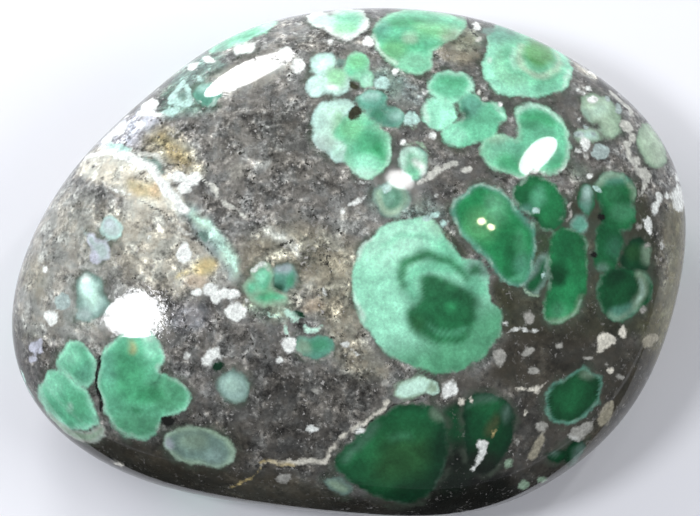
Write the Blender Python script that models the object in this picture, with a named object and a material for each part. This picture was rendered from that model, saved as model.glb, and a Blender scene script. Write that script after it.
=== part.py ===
"""A polished freeform stone: variscite that has replaced clam shells, in its brown host rock.

One solid, in metres, +Z up. It lies on its flat ground back, and the domed show face looks up.
The origin is on the back, under the middle of the outline.
"""

import math

import bmesh
import bpy
import numpy as np

MM = 0.001

# Size. The girdle is the stone's widest line.
THICKNESS = 12.4 * MM
GIRDLE_HEIGHT = 4.4 * MM
BACK_SHARE = 0.80  # flat back's plan as a share of the girdle's
CROWN_SHIFT = (-1.6 * MM, 1.0 * MM)  # highest point, from the outline's middle
DOME_FULLNESS = 2.2  # 2 is a true ellipse in section, and more is fuller at the shoulder

# The girdle's distance from the origin in mm, every 15 degrees, counter-clockwise from +X.
GIRDLE_RADII_MM = (
    20.9, 21.3, 20.4, 18.9, 17.75, 16.7, 16.2, 16.1,
    16.25, 16.3, 17.15, 18.65, 20.45, 21.65, 21.1, 19.1,
    17.2, 16.05, 15.95, 16.65, 17.85, 18.8, 19.7, 20.2,
)

# Facets
SPOKES = 96
DOME_RINGS = 20
TUCK_RINGS = 6

# Finish
HOST_ROCK_GREY_BROWN = (0.20, 0.18, 0.16, 1.0)
POLISH_ROUGHNESS = 0.15


def clear_scene():
    """Removes whatever the scene starts with."""
    for leftover in list(bpy.data.objects):
        bpy.data.objects.remove(leftover, do_unlink=True)


def girdle_radius(angles):
    """Distance from the origin to the girdle at these angles: one smooth wave through the radii."""
    count = len(GIRDLE_RADII_MM)
    waves = np.fft.rfft(GIRDLE_RADII_MM) / count
    radius = np.full(len(angles), waves[0].real)
    for order in range(1, count // 2):
        radius += 2 * (waves[order] * np.exp(1j * order * angles)).real
    return radius * MM


def girdle_outline():
    """Points of the girdle in plan as x + iy, with the middle of their box on the origin."""
    angles = np.arange(SPOKES) * 2 * math.pi / SPOKES
    outline = girdle_radius(angles) * np.exp(1j * angles)
    low = outline.real.min() + 1j * outline.imag.min()
    high = outline.real.max() + 1j * outline.imag.max()
    return outline - (low + high) / 2


def dome_plan(outline, share):
    """The dome's plan at this share: short waves of the outline die out first, so the crown is smooth."""
    orders = np.abs(np.fft.fftfreq(SPOKES, 1 / SPOKES))
    ring = np.fft.ifft(np.fft.fft(outline) * share**orders)
    return ring + complex(*CROWN_SHIFT) * (1 - share**2)


def tuck_plan(outline, share):
    """The plan below the girdle at this share: the whole outline, drawn in."""
    return outline * share


def dome_section(turn):
    """Plan share and height of the dome, for a turn of 0 at the crown and 90 degrees at the girdle."""
    share = math.sin(turn) ** (2 / DOME_FULLNESS)
    rise = max(math.cos(turn), 0.0) ** (2 / DOME_FULLNESS)
    return share, GIRDLE_HEIGHT + (THICKNESS - GIRDLE_HEIGHT) * rise


def tuck_section(turn):
    """Plan share and height below the girdle, for a turn of 0 there and 90 degrees at the back."""
    share = 1 - (1 - BACK_SHARE) * (1 - math.cos(turn))
    return share, GIRDLE_HEIGHT * (1 - math.sin(turn))


def add_ring(mesh, plan, height):
    """A ring of vertices at one height."""
    return [mesh.verts.new((point.real, point.imag, height)) for point in plan]


def add_rings(mesh):
    """Every ring, from just below the crown to the edge of the back."""
    outline = girdle_outline()
    quarter = math.pi / 2
    rings = []
    for step in range(1, DOME_RINGS + 1):
        share, height = dome_section(quarter * step / DOME_RINGS)
        rings.append(add_ring(mesh, dome_plan(outline, share), height))
    for step in range(1, TUCK_RINGS + 1):
        share, height = tuck_section(quarter * step / TUCK_RINGS)
        rings.append(add_ring(mesh, tuck_plan(outline, share), height))
    return rings


def join_rings(mesh, upper, lower):
    """A band of four-sided faces between two rings."""
    for here in range(len(upper)):
        after = (here + 1) % len(upper)
        mesh.faces.new((upper[here], lower[here], lower[after], upper[after]))


def build_stone():
    """The stone as one closed mesh: a fan at the crown, bands down to the back, and the flat back."""
    mesh = bmesh.new()
    rings = add_rings(mesh)
    crown = mesh.verts.new((*CROWN_SHIFT, THICKNESS))
    for here in range(SPOKES):
        mesh.faces.new((crown, rings[0][here], rings[0][(here + 1) % SPOKES]))
    for upper, lower in zip(rings, rings[1:]):
        join_rings(mesh, upper, lower)
    mesh.faces.new(list(reversed(rings[-1])))

    data = bpy.data.meshes.new("polished_stone")
    mesh.to_mesh(data)
    mesh.free()
    data.shade_smooth()
    data.set_sharp_from_angle(angle=math.radians(35))
    stone = bpy.data.objects.new("polished_stone", data)
    bpy.context.scene.collection.objects.link(stone)
    return stone


def polished_rock():
    """Glossy grey-brown rock, the colour between the green nodules."""
    material = bpy.data.materials.new("polished_rock")
    material.use_nodes = True
    shader = material.node_tree.nodes["Principled BSDF"]
    shader.inputs["Base Color"].default_value = HOST_ROCK_GREY_BROWN
    shader.inputs["Roughness"].default_value = POLISH_ROUGHNESS
    shader.inputs["Metallic"].default_value = 0.0
    return material


def main():
    clear_scene()
    stone = build_stone()
    stone.data.materials.append(polished_rock())


main()
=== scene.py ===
"""The looks of a polished freeform stone: variscite that has replaced clam shells, in brown host rock.

The stone's skin is one fine mesh on the form of its CAD solid. The markings of the show face are laid out
in mm on the picture plane of the show view and carried onto the dome along the line of sight. A place on
that plane is one complex number, the way across plus the way up times 1j. The sides and the back have
strewn markings of the same kinds. The finish reads them from the mesh and adds the fine grain.
"""

import logging
import math
from dataclasses import dataclass
from enum import Enum
from functools import cached_property

import bpy
import numpy as np
from mathutils import Matrix, Vector
from mathutils.bvhtree import BVHTree


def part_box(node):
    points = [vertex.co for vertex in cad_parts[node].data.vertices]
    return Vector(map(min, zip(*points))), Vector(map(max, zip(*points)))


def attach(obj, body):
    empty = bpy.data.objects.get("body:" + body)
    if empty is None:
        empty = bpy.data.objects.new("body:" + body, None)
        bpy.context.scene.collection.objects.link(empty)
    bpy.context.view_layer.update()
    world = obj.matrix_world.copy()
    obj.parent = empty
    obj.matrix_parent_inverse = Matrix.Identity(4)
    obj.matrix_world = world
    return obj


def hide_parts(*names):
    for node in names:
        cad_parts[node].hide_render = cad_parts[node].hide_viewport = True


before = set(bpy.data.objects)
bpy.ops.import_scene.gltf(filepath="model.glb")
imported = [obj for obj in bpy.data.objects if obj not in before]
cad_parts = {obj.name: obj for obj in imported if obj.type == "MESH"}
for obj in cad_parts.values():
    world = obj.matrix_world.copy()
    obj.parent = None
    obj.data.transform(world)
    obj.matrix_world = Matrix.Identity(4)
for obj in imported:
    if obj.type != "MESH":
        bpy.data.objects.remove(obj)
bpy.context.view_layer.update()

MM = 0.001
NODE = "polished_stone"
BODY = "root"
FAR_OUTSIDE = -9.0  # mm of depth for a vertex that a mark doesn't reach
LEAST_FADE = 0.22  # mm each way, the sharpest change of colour that the mesh carries smoothly
TINY = 0.001  # keeps a division away from 0

Colour = tuple[float, float, float]

log = logging.getLogger("stone")


class Tone(Enum):
    """Colours of the stone, as linear red, green and blue."""

    WHITE = (0.86, 0.90, 0.86)
    CREAM = (0.74, 0.72, 0.62)
    MINT_WHITE = (0.58, 0.86, 0.72)
    MINT = (0.33, 0.76, 0.54)
    SEA = (0.25, 0.58, 0.38)
    SPRING = (0.21, 0.52, 0.24)
    JADE = (0.15, 0.51, 0.31)
    FERN = (0.095, 0.34, 0.185)
    GREEN = (0.036, 0.285, 0.110)
    LEAF = (0.021, 0.220, 0.078)
    LIME = (0.11, 0.33, 0.10)
    DEEP = (0.017, 0.148, 0.052)
    PINE = (0.010, 0.098, 0.036)
    IVY = (0.006, 0.058, 0.021)
    MOSS = (0.026, 0.095, 0.030)
    NIGHT = (0.005, 0.034, 0.015)
    TEAL = (0.11, 0.31, 0.23)
    DUSTY = (0.15, 0.24, 0.205)
    SAGE = (0.30, 0.43, 0.31)
    LICHEN = (0.46, 0.60, 0.45)
    AQUA = (0.46, 0.68, 0.62)
    LAVENDER = (0.52, 0.54, 0.62)
    PEBBLE = (0.40, 0.50, 0.48)
    BONE = (0.62, 0.63, 0.57)
    GREY = (0.38, 0.38, 0.345)
    TAN = (0.33, 0.31, 0.235)
    OCHRE = (0.55, 0.44, 0.20)
    PEACH = (0.62, 0.46, 0.32)
    BRONZE = (0.095, 0.090, 0.040)
    OLIVE = (0.042, 0.044, 0.026)
    UMBER = (0.042, 0.038, 0.028)
    SLATE = (0.068, 0.065, 0.059)
    ROCK = (0.185, 0.182, 0.172)
    BLACK = (0.010, 0.011, 0.009)

    @property
    def paint(self) -> np.ndarray:
        """The colour as an array."""
        return np.array(self.value)


(
    WHITE, CREAM, MINT_WHITE, MINT, SEA, SPRING, JADE, FERN, GREEN, LEAF, LIME, DEEP, PINE, IVY, MOSS, NIGHT,
    TEAL, DUSTY, SAGE, LICHEN, AQUA, LAVENDER, PEBBLE, BONE, GREY, TAN, OCHRE, PEACH, BRONZE, OLIVE, UMBER,
    SLATE, ROCK, BLACK,
) = Tone  # the tones by their short names, for the lists of marks


@dataclass(frozen=True)
class Viewpoint:
    """Where the show face is looked at from. Places on its picture plane are in mm."""

    elevation: float = math.radians(77.0)
    distance: float = 200.0
    aim: tuple[float, float, float] = (0.0, 0.0, 5.0)
    aim_on_plane: complex = 0.125 + 0.25j
    span: float = 43.75
    sensor: float = 36.0
    nearest: float = 10.0

    @property
    def across(self) -> np.ndarray:
        """Unit vector to the right on the picture plane."""
        return np.array((1.0, 0.0, 0.0))

    @property
    def up(self) -> np.ndarray:
        """Unit vector up the picture plane."""
        return np.array((0.0, math.sin(self.elevation), math.cos(self.elevation)))

    @property
    def toward(self) -> np.ndarray:
        """Unit vector from the stone to the eye."""
        return np.array((0.0, -math.cos(self.elevation), math.sin(self.elevation)))

    @property
    def eye(self) -> np.ndarray:
        """The eye's place in mm."""
        return np.array(self.aim) + self.toward * self.distance

    def along(self, offset: complex) -> np.ndarray:
        """A vector along the picture plane."""
        return offset.real * self.across + offset.imag * self.up

    def sight(self, place: complex) -> np.ndarray:
        """The line of sight through a place on the picture plane, as a unit vector away from the eye."""
        ray = self.along(place - self.aim_on_plane) - self.distance * self.toward
        return ray / np.linalg.norm(ray)

    def place_camera(self) -> None:
        """Makes the scene's camera."""
        lens = bpy.data.cameras.new("show_view")
        lens.sensor_width = self.sensor
        lens.lens = self.sensor * self.distance / self.span
        lens.clip_start = self.nearest * MM
        camera = bpy.data.objects.new("show_view", lens)
        camera.location = self.eye * MM
        camera.rotation_euler = (math.pi / 2 - self.elevation, 0.0, 0.0)
        bpy.context.scene.collection.objects.link(camera)
        bpy.context.scene.camera = camera


@dataclass(frozen=True)
class StoneForm:
    """The stone's own form in mm, as its CAD solid has it. Places in plan are x + iy."""

    thickness: float
    girdle_height: float = 4.4
    back_share: float = 0.80
    crown_shift: complex = complex(-1.6, 1.0)
    fullness: float = 2.2
    mean_radius: float = 18.5
    spokes: int = 96
    section_steps: int = 500
    girdle_radii: tuple[float, ...] = (
        20.9, 21.3, 20.4, 18.9, 17.75, 16.7, 16.2, 16.1,
        16.25, 16.3, 17.15, 18.65, 20.45, 21.65, 21.1, 19.1,
        17.2, 16.05, 15.95, 16.65, 17.85, 18.8, 19.7, 20.2,
    )

    @cached_property
    def waves(self) -> list[tuple[int, complex]]:
        """The girdle's outline as a sum of turning waves, about the middle of its box.

        Returns:
            Each wave's order and size.
        """
        angles = np.arange(self.spokes) * math.tau / self.spokes
        count = len(self.girdle_radii)
        swings = np.fft.rfft(self.girdle_radii) / count
        radius = np.full(self.spokes, swings[0].real)
        for order in range(1, count // 2):
            radius += 2 * (swings[order] * np.exp(1j * order * angles)).real
        outline = radius * np.exp(1j * angles)
        low = complex(outline.real.min(), outline.imag.min())
        high = complex(outline.real.max(), outline.imag.max())
        sizes = np.fft.fft(outline - (low + high) / 2) / self.spokes
        orders = np.fft.fftfreq(self.spokes, 1 / self.spokes).astype(int)
        return [(int(order), size) for order, size in zip(orders, sizes) if abs(size) > TINY * TINY]

    def plan(self, share: np.ndarray, angle: np.ndarray) -> np.ndarray:
        """The dome's plan.

        Args:
            share: 0 at the crown and 1 at the girdle.
            angle: Angle about the crown.

        Returns:
            Places in plan.
        """
        ring = sum(size * share ** abs(order) * np.exp(1j * order * angle) for order, size in self.waves)
        return ring + self.crown_shift * (1 - share**2)

    def section(self, turn: np.ndarray) -> tuple[np.ndarray, np.ndarray]:
        """The dome's section.

        Args:
            turn: 0 at the crown and a quarter turn at the girdle.

        Returns:
            Plan shares and heights.
        """
        power = 2 / self.fullness
        rise = np.clip(np.cos(turn), 0.0, 1.0) ** power
        return np.sin(turn) ** power, self.girdle_height + (self.thickness - self.girdle_height) * rise

    def dome(self, reach: np.ndarray, angle: np.ndarray) -> np.ndarray:
        """Points of the dome.

        Args:
            reach: Way down the section, from 0 at the crown to 1 at the girdle.
            angle: Angle about the crown.

        Returns:
            One row of x, y and z for each.
        """
        turns = np.linspace(0.0, math.pi / 2, self.section_steps)
        shares, heights = self.section(turns)
        steps = np.hypot(np.diff(shares) * self.mean_radius, np.diff(heights))
        way = np.concatenate(([0.0], np.cumsum(steps)))
        share, height = self.section(np.interp(reach * way[-1], way, turns))
        plan = self.plan(share, angle)
        return np.column_stack((plan.real, plan.imag, height))

    def tuck(self, turn: float, angle: np.ndarray, draw: float = 1.0) -> np.ndarray:
        """Points of one ring below the girdle.

        Args:
            turn: 0 at the girdle and a quarter turn at the back.
            angle: Angles of the ring.
            draw: A further share that the plan is drawn in by.

        Returns:
            One row of x, y and z for each angle.
        """
        share = 1 - (1 - self.back_share) * (1 - math.cos(turn))
        plan = self.plan(np.ones_like(angle), angle) * share * draw
        height = np.full(len(plan), self.girdle_height * (1 - math.sin(turn)))
        return np.column_stack((plan.real, plan.imag, height))


@dataclass(frozen=True)
class BentGrid:
    """A grid of four-sided cells, bent to fill a round disk."""

    columns: int
    rows: int

    @cached_property
    def disk(self) -> np.ndarray:
        """The grid's points in the unit disk.

        Returns:
            One complex number for each.
        """
        across, up = np.meshgrid(
            np.linspace(-1.0, 1.0, self.columns + 1), np.linspace(-1.0, 1.0, self.rows + 1)
        )
        across, up = across.ravel(), up.ravel()
        wide = np.abs(across) > np.abs(up)
        reach = np.where(wide, across, up)
        safe = np.where(reach == 0.0, 1.0, reach)
        lean = math.pi / 4 * np.where(wide, up, across) / safe
        return reach * np.exp(1j * np.where(wide, lean, math.pi / 2 - lean))

    @cached_property
    def places(self) -> np.ndarray:
        """The points' numbers, by row and column."""
        return np.arange((self.rows + 1) * (self.columns + 1)).reshape(self.rows + 1, self.columns + 1)

    @property
    def cells(self) -> np.ndarray:
        """The grid's cells.

        Returns:
            The four corners of each, counter-clockwise.
        """
        here = self.places
        corners = (here[:-1, :-1], here[:-1, 1:], here[1:, 1:], here[1:, :-1])
        return np.stack([corner.ravel() for corner in corners], axis=1)

    @property
    def border(self) -> np.ndarray:
        """The points round the edge.

        Returns:
            Their numbers, counter-clockwise.
        """
        here = self.places
        sides = (here[0, :-1], here[:-1, -1], here[-1, :0:-1], here[:0:-1, 0])
        return np.concatenate(sides)


@dataclass(frozen=True)
class Skin:
    """The stone's surface as one closed mesh: a dome, a belt below the girdle and a flat back."""

    form: StoneForm
    dome_grid: BentGrid = BentGrid(288, 216)
    back_grid: BentGrid = BentGrid(144, 108)
    belt_rings: int = 20
    back_inset: float = 0.985  # plan of the back's grid as a share of the back's

    @cached_property
    def loop_angles(self) -> np.ndarray:
        """The angle of each point round the dome's edge."""
        return np.angle(self.dome_grid.disk[self.dome_grid.border])

    @cached_property
    def points(self) -> np.ndarray:
        """Every vertex: the dome's, the belt's and the back's.

        Returns:
            One row of x, y and z in mm for each.
        """
        disk = self.dome_grid.disk
        parts = [self.form.dome(np.abs(disk), np.angle(disk))]
        for ring in range(1, self.belt_rings + 1):
            parts.append(self.form.tuck(math.pi / 2 * ring / self.belt_rings, self.loop_angles))
        disk = self.back_grid.disk
        rim = self.form.tuck(math.pi / 2, np.angle(disk), self.back_inset)
        parts.append(rim * np.abs(disk)[:, None])
        return np.concatenate(parts)

    @cached_property
    def faces(self) -> list[tuple[int, ...]]:
        """Every face.

        Returns:
            The corners of each, so that it faces out.
        """
        faces = self.dome_grid.cells.tolist()
        upper = self.dome_grid.border
        start = len(self.dome_grid.disk)
        for _ in range(self.belt_rings):
            lower = np.arange(start, start + len(upper))
            faces += self.band(upper, lower)
            upper, start = lower, start + len(upper)
        faces += self.halving_band(upper, self.back_grid.border + start)
        faces += (self.back_grid.cells[:, ::-1] + start).tolist()
        return faces

    @staticmethod
    def band(upper: np.ndarray, lower: np.ndarray) -> list[tuple[int, ...]]:
        """Four-sided faces between a loop and one below it with as many points."""
        return np.stack((upper, lower, np.roll(lower, -1), np.roll(upper, -1)), axis=1).tolist()

    @staticmethod
    def halving_band(fine: np.ndarray, coarse: np.ndarray) -> list[tuple[int, ...]]:
        """Triangles between a loop and an inner one with half its points, facing down.

        Args:
            fine: The outer loop.
            coarse: The inner loop.

        Returns:
            The faces.
        """
        first, middle, last = fine[0::2], fine[1::2], np.roll(fine, -2)[0::2]
        inner, after = coarse, np.roll(coarse, -1)
        trios = ((middle, first, inner), (middle, inner, after), (last, middle, after))
        return [face for trio in trios for face in np.stack(trio, axis=1).tolist()]


class Ripple:
    """A smooth random wave through space: a sum of plane waves of about one length."""

    spread = (0.7, 1.5)  # shortest and longest plane wave, as shares of that length
    count = 14

    def __init__(self, seed: int, length: float) -> None:
        """Draws the plane waves.

        Args:
            seed: Seed of the draw.
            length: The waves' usual length, in mm.
        """
        draw = np.random.default_rng(seed)
        ways = draw.normal(size=(self.count, 3))
        ways /= np.linalg.norm(ways, axis=1, keepdims=True)
        self.turns = ways * (math.tau / (length * draw.uniform(*self.spread, self.count)))[:, None]
        self.starts = draw.uniform(0.0, math.tau, self.count)
        self.size = math.sqrt(2 / self.count)

    def at(self, points: np.ndarray) -> np.ndarray:
        """The wave's height, about -1 to 1, at each point."""
        return self.size * np.sin(points @ self.turns.T + self.starts).sum(axis=1)


def blend_steps(value: np.ndarray, low: float, high: float) -> np.ndarray:
    """A smooth step: 0 below low, 1 above high and a smooth rise between them."""
    way = np.clip((value - low) / (high - low), 0.0, 1.0)
    return way * way * (3 - 2 * way)


def join_depths(one: np.ndarray, other: np.ndarray, fillet: float) -> np.ndarray:
    """The depth inside two forms run together, with a fillet this wide in mm between them."""
    share = np.clip(0.5 + 0.5 * (one - other) / fillet, 0.0, 1.0)
    return other + (one - other) * share + fillet * share * (1 - share)


def curve_place(knots: tuple[complex, ...], way: float) -> complex:
    """A place on a smooth curve through four knots, which may be arrays.

    Args:
        knots: The knots.
        way: Share of the way between the middle two.

    Returns:
        The place.
    """
    before, start, end, after = knots
    bend = 2 * before - 5 * start + 4 * end - after
    twist = 3 * (start - end) + after - before
    return start + 0.5 * way * (end - before + way * (bend + way * twist))


@dataclass(frozen=True)
class Seat:
    """A spot on the stone, with the directions that a mark there is laid out along."""

    middle: np.ndarray
    across: np.ndarray
    up: np.ndarray
    scale: float = 1.0  # mm on the stone for 1 mm on the mark's own plane
    slant: float = 1.0  # how much longer the mark can be on the stone than on that plane

    def beside(self, turn: float, reach: float) -> np.ndarray:
        """The point this far aside, in the direction turned this much from across."""
        return self.middle + reach * (math.cos(turn) * self.across + math.sin(turn) * self.up)


class Canvas:
    """The stone's vertices, and the ways to find places and depths on them."""

    warps = ((11, 1.1, 0.045), (14, 0.45, 0.010))  # seed, length and size of the waves that fray outlines
    pulls = tuple(np.linspace(1.0, 0.7, 61))  # how far toward the middle a place off the stone is pulled
    steepest = 0.35  # a slope of the surface past this is taken as this

    def __init__(self, skin: Skin, viewpoint: Viewpoint) -> None:
        """Frays the vertices' places and readies the surface for lines of sight.

        Args:
            skin: The stone's surface.
            viewpoint: Where the show face is seen from.
        """
        self.viewpoint = viewpoint
        self.true_points = skin.points
        self.points = skin.points.copy()
        for seed, length, size in self.warps:
            for axis in range(3):
                self.points[:, axis] += size * Ripple(seed + axis, length).at(skin.points)
        self.surface = BVHTree.FromPolygons(skin.points.tolist(), skin.faces)

    @property
    def blank(self) -> np.ndarray:
        """A depth for every vertex, far outside."""
        return np.full(len(self.points), FAR_OUTSIDE)

    @cached_property
    def picture(self) -> np.ndarray:
        """Where each vertex shows on the picture plane.

        Returns:
            One place for each.
        """
        view = self.viewpoint
        offset = self.points - np.array(view.aim)
        spread = view.distance / (view.distance - offset @ view.toward)
        return (offset @ view.across + 1j * (offset @ view.up)) * spread + view.aim_on_plane

    def seat(self, place: complex) -> Seat:
        """Where the line of sight through a place on the picture plane meets the stone.

        Args:
            place: The place.

        Returns:
            The spot. Off the stone's outline it is beside the nearest spot toward the middle.
        """
        view = self.viewpoint
        for pull in self.pulls:
            hit, normal, _, _ = self.surface.ray_cast(Vector(view.eye), Vector(view.sight(place * pull)))
            if hit is not None:
                break
        scale = float((view.eye - np.array(hit)) @ view.toward) / view.distance
        aside = scale * (1 - pull) * view.along(place)
        facing = max(float(np.array(normal) @ view.toward), self.steepest)
        return Seat(np.array(hit) + aside, view.across, view.up, scale, 1 / facing)

    def fold(self, place: complex) -> tuple[np.ndarray, np.ndarray]:
        """How the stone mirrors what is seen at a place on the picture plane.

        Args:
            place: The place.

        Returns:
            The point of the stone seen there, and the matrix that mirrors directions in its surface.
        """
        view = self.viewpoint
        hit, normal, _, _ = self.surface.ray_cast(Vector(view.eye), Vector(view.sight(place)))
        return np.array(hit), np.eye(3) - 2 * np.outer(normal, normal)

    def seat_near(self, point: np.ndarray, lean: float) -> Seat:
        """The spot of the surface nearest a point, with directions along the surface.

        Args:
            point: A point in mm.
            lean: Turn of the directions about the normal.

        Returns:
            The spot.
        """
        hit, normal, _, _ = self.surface.find_nearest(Vector(point))
        side = normal.orthogonal().normalized()
        rise = normal.cross(side)
        across = math.cos(lean) * np.array(side) + math.sin(lean) * np.array(rise)
        return Seat(np.array(hit), across, np.cross(np.array(normal), across))


@dataclass(frozen=True)
class Oval:
    """An oval patch on the picture plane: its middle, its half-axes and its turn in degrees."""

    place: complex
    wide: float
    high: float
    lean: float = 0.0
    margin: float = 0.8  # mm outside the patch that its depth is still worked out for
    slack: float = 1.15  # room for the surface's bend, as a share of the patch's reach

    @property
    def turn(self) -> tuple[float, float]:
        """Cosine and sine of its turn."""
        return math.cos(math.radians(self.lean)), math.sin(math.radians(self.lean))

    def depth(self, canvas: Canvas) -> np.ndarray:
        """Depth of each vertex inside the patch, in mm."""
        return self.depth_at(canvas, canvas.seat(self.place))

    def depth_at(self, canvas: Canvas, seat: Seat) -> np.ndarray:
        """Depth of each vertex inside the patch laid at a seat.

        Args:
            canvas: The stone's vertices.
            seat: Where the patch's middle is.

        Returns:
            Depths in mm, below 0 outside.
        """
        depth = canvas.blank
        limit = self.slack * seat.slant * max(self.wide, self.high)
        offset = canvas.points - seat.middle
        distance = np.sqrt((offset * offset).sum(axis=1))
        near = np.flatnonzero(distance < limit + self.margin)
        offset = offset[near] / seat.scale
        cosine, sine = self.turn
        side, rise = offset @ seat.across, offset @ seat.up
        along = (side * cosine + rise * sine) / self.wide
        athwart = (rise * cosine - side * sine) / self.high
        reach = np.hypot(along, athwart)
        slope = np.hypot(along / self.wide, athwart / self.high) + TINY
        depth[near] = np.minimum(reach * (1 - reach) / slope, limit - distance[near])
        return depth


def spot(place: complex, radius: float) -> Oval:
    """A round patch."""
    return Oval(place, radius, radius)


@dataclass(frozen=True)
class Trail:
    """A thin line over the picture plane: its half-width in mm, and the places that it passes."""

    half: float
    route: tuple[complex, ...] = ()
    step: float = 0.3
    taper: float = 0.6  # share of the width left at its ends
    late: int = 3  # a higher power keeps the line wide for longer
    margin: float = 0.8

    def stations(self) -> list[complex]:
        """Places along a smooth curve through the route's places.

        Returns:
            The places, a short step apart.
        """
        ends = (self.route[0], *self.route, self.route[-1])
        places = [self.route[0]]
        for knots in zip(ends, ends[1:], ends[2:], ends[3:]):
            count = max(1, round(abs(knots[2] - knots[1]) / self.step))
            places += [curve_place(knots, way) for way in np.arange(1, count + 1) / count]
        return places

    def depth(self, canvas: Canvas) -> np.ndarray:
        """How deep each vertex is inside the line.

        Args:
            canvas: The stone's vertices.

        Returns:
            Depths in mm.
        """
        depth = canvas.blank
        spots = [canvas.seat(place).middle for place in self.stations()]
        last = max(len(spots) - 2, 1)
        for number, ends in enumerate(zip(spots, spots[1:])):
            ending = abs(2 * number / last - 1) ** self.late
            self.draw_stretch(canvas, depth, ends, self.half * (1 - (1 - self.taper) * ending))
        return depth

    def draw_stretch(
        self, canvas: Canvas, depth: np.ndarray, ends: tuple[np.ndarray, np.ndarray], half: float
    ) -> None:
        """Deepens the depths beside one straight stretch.

        Args:
            canvas: The stone's vertices.
            depth: Depths so far, which are changed.
            ends: The stretch's start and end in mm.
            half: Its half-width.
        """
        start, end = ends
        offset = canvas.points - start
        run = end - start
        limit = math.dist(start, end) + half + self.margin
        near = np.flatnonzero((offset * offset).sum(axis=1) < limit**2)
        offset = offset[near]
        way = np.clip(offset @ run / max(float(run @ run), TINY), 0.0, 1.0)
        gap = np.linalg.norm(offset - way[:, None] * run, axis=1)
        depth[near] = np.maximum(depth[near], half - gap)


def line(half: float, *route: complex) -> Trail:
    """A line of this half-width through these places."""
    return Trail(half, route)


@dataclass(frozen=True)
class Patch:
    """A patch of any outline: the corners of a smooth closed curve on the picture plane."""

    corners: tuple[complex, ...]
    margin: float = 0.8
    slack: float = 1.1
    pieces: int = 4  # straight pieces between two corners

    def ring(self) -> np.ndarray:
        """Places round the smooth outline.

        Returns:
            The places, in order.
        """
        knots = tuple(np.roll(self.corners, shift) for shift in (1, 0, -1, -2))
        rows = [curve_place(knots, way) for way in np.arange(self.pieces) / self.pieces]
        return np.stack(rows, axis=1).ravel()

    def depth(self, canvas: Canvas) -> np.ndarray:
        """How deep each vertex is inside the patch.

        Args:
            canvas: The stone's vertices.

        Returns:
            Depths in mm.
        """
        ring = self.ring()
        middle = complex(ring.mean())
        seat = canvas.seat(middle)
        limit = self.slack * seat.slant * np.abs(ring - middle).max() + self.margin
        near = np.flatnonzero(np.linalg.norm(canvas.points - seat.middle, axis=1) < limit)
        spots = canvas.picture[near]
        gap = np.full(len(near), -FAR_OUTSIDE)
        inside = np.zeros(len(near), dtype=bool)
        for start, end in zip(ring, np.roll(ring, -1)):
            run, offset = end - start, spots - start
            way = np.clip((offset * run.conjugate()).real / abs(run) ** 2, 0.0, 1.0)
            gap = np.minimum(gap, np.abs(offset - way * run))
            spans = (start.imag > spots.imag) != (end.imag > spots.imag)
            inside ^= spans & (offset.real < offset.imag * run.real / (run.imag or TINY))
        depth = canvas.blank
        depth[near] = np.where(inside, gap, -gap)
        return depth


def patch(*corners: complex) -> Patch:
    """A patch with these corners."""
    return Patch(corners)


Shape = Oval | Trail | Patch


@dataclass(frozen=True)
class Tint:
    """A soft-edged change of colour."""

    tone: Tone
    shape: Shape
    fade: float = 0.3  # mm that its edge fades over, each way
    strength: float = 0.6

    def share(self, canvas: Canvas) -> np.ndarray:
        """How much of the tint each vertex takes, from 0 to its strength."""
        fade = max(self.fade, LEAST_FADE)
        return self.strength * blend_steps(self.shape.depth(canvas), -fade, fade)


@dataclass(frozen=True)
class Nodule:
    """A green nodule: lobes run together, paler toward the edge and darker in the heart."""

    body: Tone
    edge: Tone
    lobes: tuple[Shape, ...] = ()
    tints: tuple[Tint, ...] = ()
    edge_width: float = 0.45
    heart: Tone | None = None
    heart_depth: float = 1.2
    heart_band: tuple[float, float] = (0.6, 1.4)  # where the heart starts and is full, as shares of its depth
    skin: float = 0.5  # strength of the thin pale skin round it
    seam: Tone | None = None  # colour of the line where it meets an earlier nodule
    fillet: float = 0.35

    def depth(self, canvas: Canvas) -> np.ndarray:
        """How deep each vertex is inside the nodule.

        Args:
            canvas: The stone's vertices.

        Returns:
            Depths in mm.
        """
        depth = self.lobes[0].depth(canvas)
        for lobe in self.lobes[1:]:
            depth = join_depths(depth, lobe.depth(canvas), self.fillet)
        return depth

    def paint(self, canvas: Canvas, depth: np.ndarray) -> np.ndarray:
        """The nodule's colours.

        Args:
            canvas: The stone's vertices.
            depth: Their depths inside the nodule.

        Returns:
            A colour for each vertex.
        """
        share = blend_steps(depth, 0.0, self.edge_width)[:, None]
        paint = self.edge.paint * (1 - share) + self.body.paint * share
        if self.heart is not None:
            low, high = (end * self.heart_depth for end in self.heart_band)
            share = blend_steps(depth, low, high)[:, None]
            paint = paint * (1 - share) + self.heart.paint * share
        for tint in self.tints:
            share = tint.share(canvas)[:, None]
            paint = paint * (1 - share) + tint.tone.paint * share
        return paint


def nodule(body: Tone, edge: Tone, *parts: Shape | Tint, **looks: float | Tone) -> Nodule:
    """A nodule of a few parts.

    Args:
        body: Its tone.
        edge: The tone at its edge.
        parts: The lobes that it grew from, and the tints over it.
        looks: Its further looks, by name.

    Returns:
        The nodule.
    """
    lobes = tuple(part for part in parts if not isinstance(part, Tint))
    tints = tuple(part for part in parts if isinstance(part, Tint))
    return Nodule(body, edge, lobes, tints, **looks)


@dataclass(frozen=True)
class Fleck:
    """Small pale or dark marks of one colour, drawn over everything but the cracks."""

    tone: Tone
    shapes: tuple[Shape, ...]


def flecks(tone: Tone, *shapes: Shape) -> Fleck:
    """Flecks of this tone and these shapes."""
    return Fleck(tone, shapes)


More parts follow.
